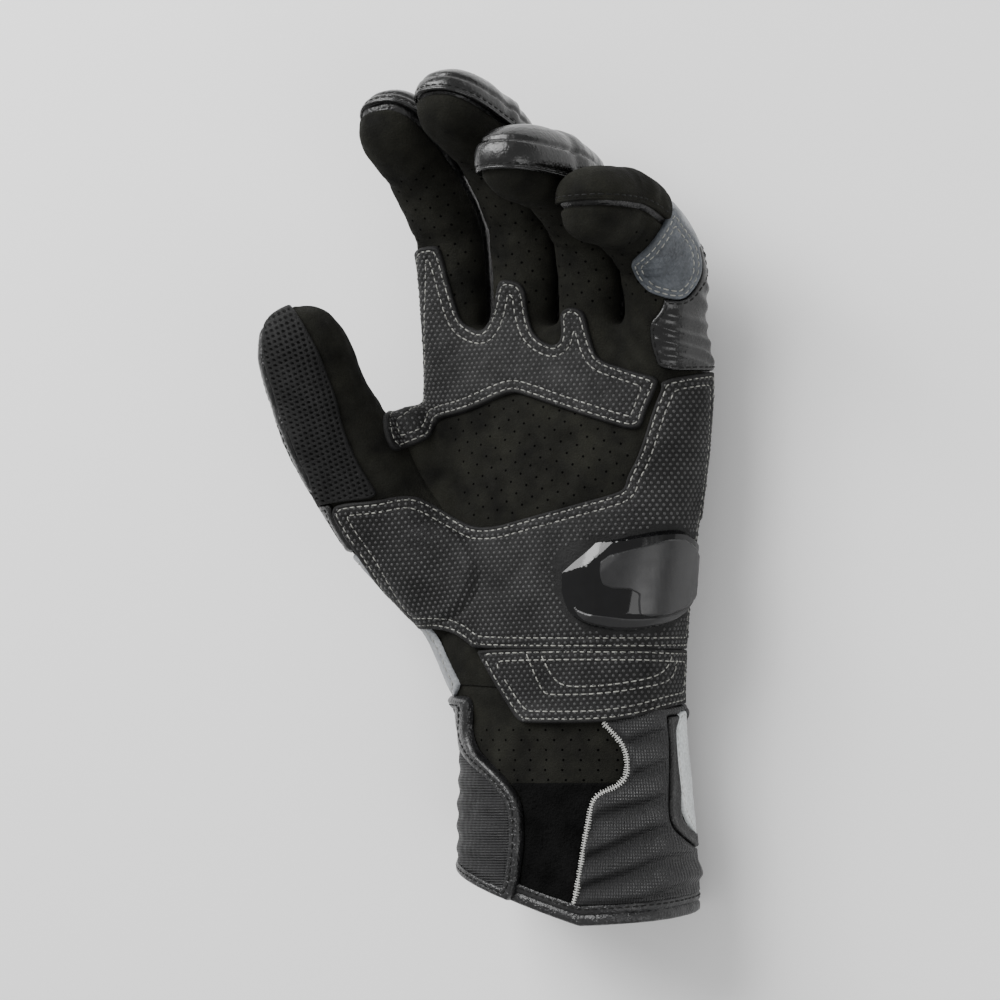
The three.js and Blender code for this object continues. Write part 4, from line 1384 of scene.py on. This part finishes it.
def make_caps(skin):
    """The leather over each fingertip, with its seam, wrinkles and piping"""
    for finger in FINGERS:
        name = finger["name"]
        count, palmar = skin[name + "_count"], skin[name + "_palmar"]
        depth = np.minimum.reduce([JOINT_REACH["cap"] * (count - CAP_FROM), finger["cap_edge"] - palmar,
                                   skin["own_" + name] * 3 - 0.2])

        def folds(piece, name=name):
            along, low = piece[name + "_count"], piece[name + "_palmar"]
            crown = 0.5 * smooth_step(piece["depth"], 0.5, 6)
            wrinkle = 0.4 * np.sin(along * 21 + 0.12 * piece[name + "_across"] + waves(piece.points, 15, 5))
            seam = -0.7 * bump(low + 5.2, 0.55) * smooth_step(along, 1.9, 2.1) * (name != "little")
            return crown + wrinkle * smooth_step(piece["depth"], 0.8, 3.5) * bump(along - 2.1, 0.3) + seam

        paint = SUEDE if name == "little" else CAP_LEATHER
        cap = panel(name + "_cap_leather", skin, depth, CAP_TOP, paint, [name + "_cap"],
                    relief=folds, grooves=CAP_ROWS, fine=1, round_=1.4)
        sewn(name + "_cap", cap, CAP_ROWS, DARK_THREAD)
        piping = [tube_shape(*smooth_path(line, PIPING["lift"], 12), PIPING["radius"], PIPING["sides"])
                  for line in contours(cap, cap["depth"] - PIPING["depth"])
                  if len(line["points"]) > PIPING["fewest_points"]]
        joined_shapes(name + "_cap_piping", piping, paint)


WAVES = dict(slope=0.36, pitch=11.0, high=1.9, rise=0.3)
BANDS = dict(slope=-0.12, pitch=7.6, high=0.36)


def waved(piece):
    """The waves of the ribbed panel, steep on their lower side"""
    u, v = piece["uv"].T
    turn = (v - WAVES["slope"] * u) / WAVES["pitch"] + 0.06 * waves(piece.points, 30, 6)
    part = turn - np.floor(turn)
    ridge = np.where(part < WAVES["rise"], part / WAVES["rise"], (1 - part) / (1 - WAVES["rise"]))
    return WAVES["high"] * (smooth_step(ridge, 0, 1) - 0.3) * smooth_step(piece["depth"], 0.4, 2.5)


def banded(piece):
    """The soft bands across the closure flap"""
    u, v = piece["uv"].T
    turn = (v - BANDS["slope"] * u) / BANDS["pitch"]
    soft = smooth_step(piece["depth"], 4.0, 6.5)
    return BANDS["high"] * np.sin(turn * 2 * math.pi) * soft + wear(piece.points, 0.8)


def fuzzy(piece):
    """The loops of the fastener patch"""
    return 0.12 * waves(piece.points, 1.6, 21, 30) + 0.2 * waves(piece.points, 9, 22)


# An overlocked edge: its threads across, and the cord that runs along it
OVERLOCKED = dict(pitch=0.85, reach=0.9, ends=0.4, cord=0.2, cord_lift=0.25, sides=5)
# along one thread: share of its reach, lift off the cloth, radius
OVERLOCK_FORM = ((-1, -0.3, 0.16), (-0.6, 0.25, 0.24), (0.6, 0.25, 0.24), (1, -0.3, 0.16))


def overlocked(name, piece, pixels):
    """Short threads side by side across a line, as on an overlocked edge"""
    lock = OVERLOCKED
    line = traced(piece, pixels)
    points, normals = averaged_line(line["points"], 8), line["normal"]
    run = run_of(points)
    at = np.arange(lock["ends"], run[-1] - lock["ends"], lock["pitch"])
    places = spaced(points, run, at)
    ahead = spaced(points, run, at + 0.3)
    ups = unit(spaced(normals, np.linspace(0, run[-1], len(normals)), at))
    across = unit(np.cross(unit(ahead - places + 1e-6), ups))
    chance = np.random.default_rng(12)
    made = [tube_shape(points + normals * lock["cord_lift"], normals, lock["cord"], lock["sides"])]
    shares, lifts, radii = zip(*OVERLOCK_FORM)
    for place, sideways, up in zip(places, across, ups):
        reach = lock["reach"] * chance.uniform(0.8, 1.25)
        path = [place + sideways * reach * share + up * lift for share, lift in zip(shares, lifts)]
        made.append(tube_shape(path, [up] * len(path), radii, lock["sides"]))
    joined_shapes(name, made, WHITE_THREAD)


FLAP = dict(low_z=8, wrist_gap=4, bottom=0.3, tape=4.0, tape_top=0.4, tape_round=1.1)
STRIPE = dict(x=30, rows=(1.3,))
SEAM_STRIP = dict(low_z=9, wrist_gap=9, proud=0.5, rows=(1.6,))
RIBS = dict(low_z=12, wrist_gap=6)
LOOP_TOP = 1.1
LOOP_LIMIT = dict(limit=0.1, reach=20)
OFF_HEM = BINDING_HIGH - 0.6  # panels end under the binding


def make_flap(skin):
    """The closure flap with the binding round it. The flap's depth comes back."""
    off_lobe = -inside(skin["uv"], WRIST_LOBE) - GAP + HIDDEN_BONUS * (skin["facing"] < 0.0)
    depth = np.minimum.reduce([inside(skin["uv"], CLOSURE_FLAP), skin["z"] - FLAP["low_z"],
                               WRIST_Y - FLAP["wrist_gap"] - skin["y"], skin["mouth"], off_lobe])
    flap = panel("cuff_flap", skin, depth, FLAP_TOP - 0.5, BANDED, ["closure_flap"],
                 relief=banded, grooves=(3.8,), fine=1, bottom=FLAP["bottom"])
    edge = side(flap.plus(depth=FLAP["tape"] - flap["depth"]), FLAP["tape"] - 0.4 - flap["depth"])
    edge = edge.plus(depth=FLAP["tape"] - edge["depth"])
    down = edge["depth"]
    height = edge_height(down, FLAP_TOP, FLAP["tape_top"], FLAP["tape_round"])
    height = height - 0.35 * smooth_step(down, 2.6, 3.6)
    height = height - 0.22 * bump(down - 2.2, 0.4) + 0.03 * waves(edge.points, 4, 9)
    edge = edge.plus(height=height)
    wall("cuff_flap_binding", edge, height, 0.2, BINDING)
    sewn("cuff_flap", edge, (2.2,), DARK_THREAD)
    return depth


def make_cuff(skin, cuff):
    """The panels on the cuff, each cut where another one lies over it"""
    uv, z, y = skin["uv"], skin["z"], skin["y"]
    flap_depth = make_flap(skin)
    stripe_depth = np.minimum(side_depth(skin, SIDE_STRIPE), skin["x"] - STRIPE["x"])
    stripe = panel("cuff_side_stripe", skin, stripe_depth, PANEL_TOP, PALE, ["side_stripe"],
                   relief=worn(0.5), grooves=STRIPE["rows"])
    sewn("cuff_side_stripe", stripe, STRIPE["rows"], WHITE_THREAD)
    off_hem = skin["mouth"] - OFF_HEM
    seam_depth = np.minimum.reduce([
        inside(uv, CUFF_SEAM), z - SEAM_STRIP["low_z"], WRIST_Y - SEAM_STRIP["wrist_gap"] - y, off_hem,
        -stripe_depth - 0.1])
    rib_depth = np.minimum.reduce([
        inside(uv, RIB_PANEL), z - RIBS["low_z"], WRIST_Y - RIBS["wrist_gap"] - y, off_hem,
        -stripe_depth - 0.2, -seam_depth - 0.1])
    panel("cuff_seam_strip", skin, seam_depth, PANEL_TOP + SEAM_STRIP["proud"], LEATHER,
          grooves=SEAM_STRIP["rows"], round_=0.7)
    panel("cuff_rib_panel", skin, rib_depth, PANEL_TOP, RIBBED, ["rib_panel"],
          relief=waved, fine=1)
    loop_depth = np.minimum.reduce([inside(uv, LOOP_PATCH, 0), off_hem, in_sight(skin, **LOOP_LIMIT),
                                    z - SEAM_Z, -rib_depth - GAP, -flap_depth - GAP])
    panel("cuff_loop_patch", skin, loop_depth, LOOP_TOP, LOOP, ["loop_patch"],
          relief=fuzzy, fine=1)
    overlocked("cuff_overlock", cuff.plus(height=cuff["height"] + PANEL_TOP), OVERLOCK)
    punched("cuff_perforations", cuff, window(cuff, WRIST_WINDOW))


HEM = dict(levels=(0.5, 1.2, 2.9, 3.5, 4.1, 5.8, 6.5), round=1.3, groove_at=3.5, groove=0.55, wide=0.5)
HEM_ROWS = (5.4,)


def make_binding(skin):
    """The bound edge of the cuff's mouth, proud of both faces of the wall"""
    ring = side(skin, skin["mouth"])
    ring = side(ring, BINDING_HIGH - ring["mouth"])
    ring = refined(ring, "mouth", HEM["levels"])
    down = ring["mouth"]
    rim = np.minimum(down, BINDING_HIGH - down)
    crown = np.sqrt(1 - (1 - np.clip(rim / HEM["round"], 0, 1)) ** 2)
    groove = HEM["groove"] * bump(down - HEM["groove_at"], HEM["wide"])
    pucker = 0.06 * waves(ring.points, 5, 31)
    outer = wear(ring.points) + BINDING_PROUD * (0.35 + 0.65 * crown) - groove + pucker
    inner = -SKIN_WALL - BINDING_PROUD * crown
    wall("cuff_binding", ring, outer, inner, BINDING, ["hem_binding"])
    sewn("cuff_binding", ring.plus(height=outer, depth=down), HEM_ROWS, DARK_THREAD)


PAD = dict(channels=(-21, 2.5, 26), deep=1.3, wide=1.1, rows=(1.4,))  # channels are the x of seams


def make_knuckle_pad(skin):
    """The padded panel under the knuckles, swollen between its seams and flat where it rests"""
    low, high = (np.array(corner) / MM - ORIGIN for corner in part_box("knuckle_pad"))
    x, y, z = skin.points.T
    depth = np.minimum.reduce([x - low[0], high[0] - x, y - low[1], high[1] - y, high[2] - z,
                               -30 * skin["normal"][:, 2]])

    def swollen(piece):
        crown = (PAD_TOP - PANEL_TOP) * np.sqrt(smooth_step(piece["depth"], 0, 8))
        channels = sum(bump(piece.points[:, 0] - at, PAD["wide"]) for at in PAD["channels"])
        return crown - PAD["deep"] * channels * smooth_step(piece["depth"], 2, 6) + wear(piece.points, 0.6)

    panel("knuckle_padding", skin, depth, PANEL_TOP, LEATHER, ["knuckle_pad"],
          relief=swollen, grooves=PAD["rows"])


PALE_PANEL = dict(x=-10, limit=0.5, reach=14, rows=(1.6,))


def make_pale_side(skin, nail):
    """Paler leather on the thumb side, which shows past the edge of the palm"""
    hidden = -in_sight(skin, PALE_PANEL["limit"], PALE_PANEL["reach"])
    depth = np.minimum.reduce([side_depth(skin, PALE_SIDE, 3), hidden, PALE_PANEL["x"] - skin["x"],
                               -nail - GAP])
    piece = panel("thumb_side_pale", skin, depth, THIN_TOP, SILVER, round_=0.6,
                  relief=worn(0.7), grooves=PALE_PANEL["rows"])
    sewn("thumb_side_pale", piece, PALE_PANEL["rows"], THREAD)


def make_perforations(shells):
    """The punched holes of the palm and the fingers, as spots of painted shade, and the stitches of the
    thumb's seam
    """
    palm = shells["palm"]
    punched("palm_perforations", palm, window(palm, PALM_WINDOW), turn=-12)
    for name in FINGER_NAMES:
        front = shells[name + "_front"]
        depth = np.minimum.reduce([front[name + "_palmar"] - 5, 20 * (2.3 - front[name + "_count"]),
                                   front["y"] - FINGER_BACK_Y - 2])
        punched(name + "_perforations", front, depth, turn=10)
    line = traced(palm, THUMB_SEAM_STITCHES)
    shifted = dict(line, points=line["points"] + RIGHT * 1.5)
    joined_shapes("thumb_seam_stitches", stitches(shifted), DARK_THREAD)


# The photograph's light, floor and camera
FLOOR_HALF = 3.0
LIGHTS = (
    # name, place and aim in metres from the glove's middle, size, watts
    ("top_light", (-0.5, 0.9, 1.05), (0, 0, 0.03), 0.9, 24.0),
    ("left_light", (-1.1, 0.8, 0.8), (0, 0, 0.03), 0.6, 11.0),
    ("right_light", (1.1, -0.4, 0.9), (0, 0, 0.03), 0.8, 6.0),
)
SKY = 0.6


def floor_paint():
    made = bpy.data.materials.new("floor_paint")
    made.use_nodes = True
    shader = made.node_tree.nodes["Principled BSDF"]
    shader.inputs["Base Color"].default_value = linear(249, 249, 249)
    shader.inputs["Roughness"].default_value = 0.9
    shader.inputs["Specular IOR Level"].default_value = 0.1
    return made


def make_stage():
    mesh = bpy.data.meshes.new("floor")
    half = FLOOR_HALF
    corners = [(-half, -half, 0), (half, -half, 0), (half, half, 0), (-half, half, 0)]
    mesh.from_pydata(corners, [], [(0, 1, 2, 3)])
    floor = bpy.data.objects.new("floor", mesh)
    bpy.context.scene.collection.objects.link(floor)
    mesh.materials.append(floor_paint())
    for name, place, aim, size, power in LIGHTS:
        lamp = bpy.data.lights.new(name, "AREA")
        lamp.size = size
        lamp.energy = power
        obj = bpy.data.objects.new(name, lamp)
        obj.location = place
        obj.rotation_euler = (Vector(aim) - Vector(place)).to_track_quat("-Z", "Y").to_euler()
        bpy.context.scene.collection.objects.link(obj)
    world = bpy.data.worlds.new("studio")
    world.use_nodes = True
    world.node_tree.nodes["Background"].inputs[0].default_value = (1, 1, 1, 1)
    world.node_tree.nodes["Background"].inputs[1].default_value = SKY
    bpy.context.scene.world = world


SENSOR = 36  # millimetres


def make_camera():
    lens = bpy.data.cameras.new("photo_camera")
    camera = bpy.data.objects.new("photo_camera", lens)
    turned = Matrix((RIGHT, UPWARD, BACKWARD)).transposed().to_4x4()
    camera.matrix_world = Matrix.Translation((EYE + ORIGIN) * MM) @ turned
    lens.sensor_width = SENSOR
    lens.lens = SENSOR * VIEW_DISTANCE / (IMAGE * PIXEL)
    bpy.context.scene.collection.objects.link(camera)
    bpy.context.scene.camera = camera


def main():
    skin = glove_skin()
    shells = make_shells(skin)
    make_palm_panels(skin)
    make_slider(skin)
    nail = make_thumb(skin)
    make_little_side(skin)
    make_caps(skin)
    make_cuff(skin, shells["cuff"])
    make_binding(skin)
    make_knuckle_pad(skin)
    make_perforations(shells)
    make_pale_side(skin, nail)
    make_stage()
    make_camera()


main()
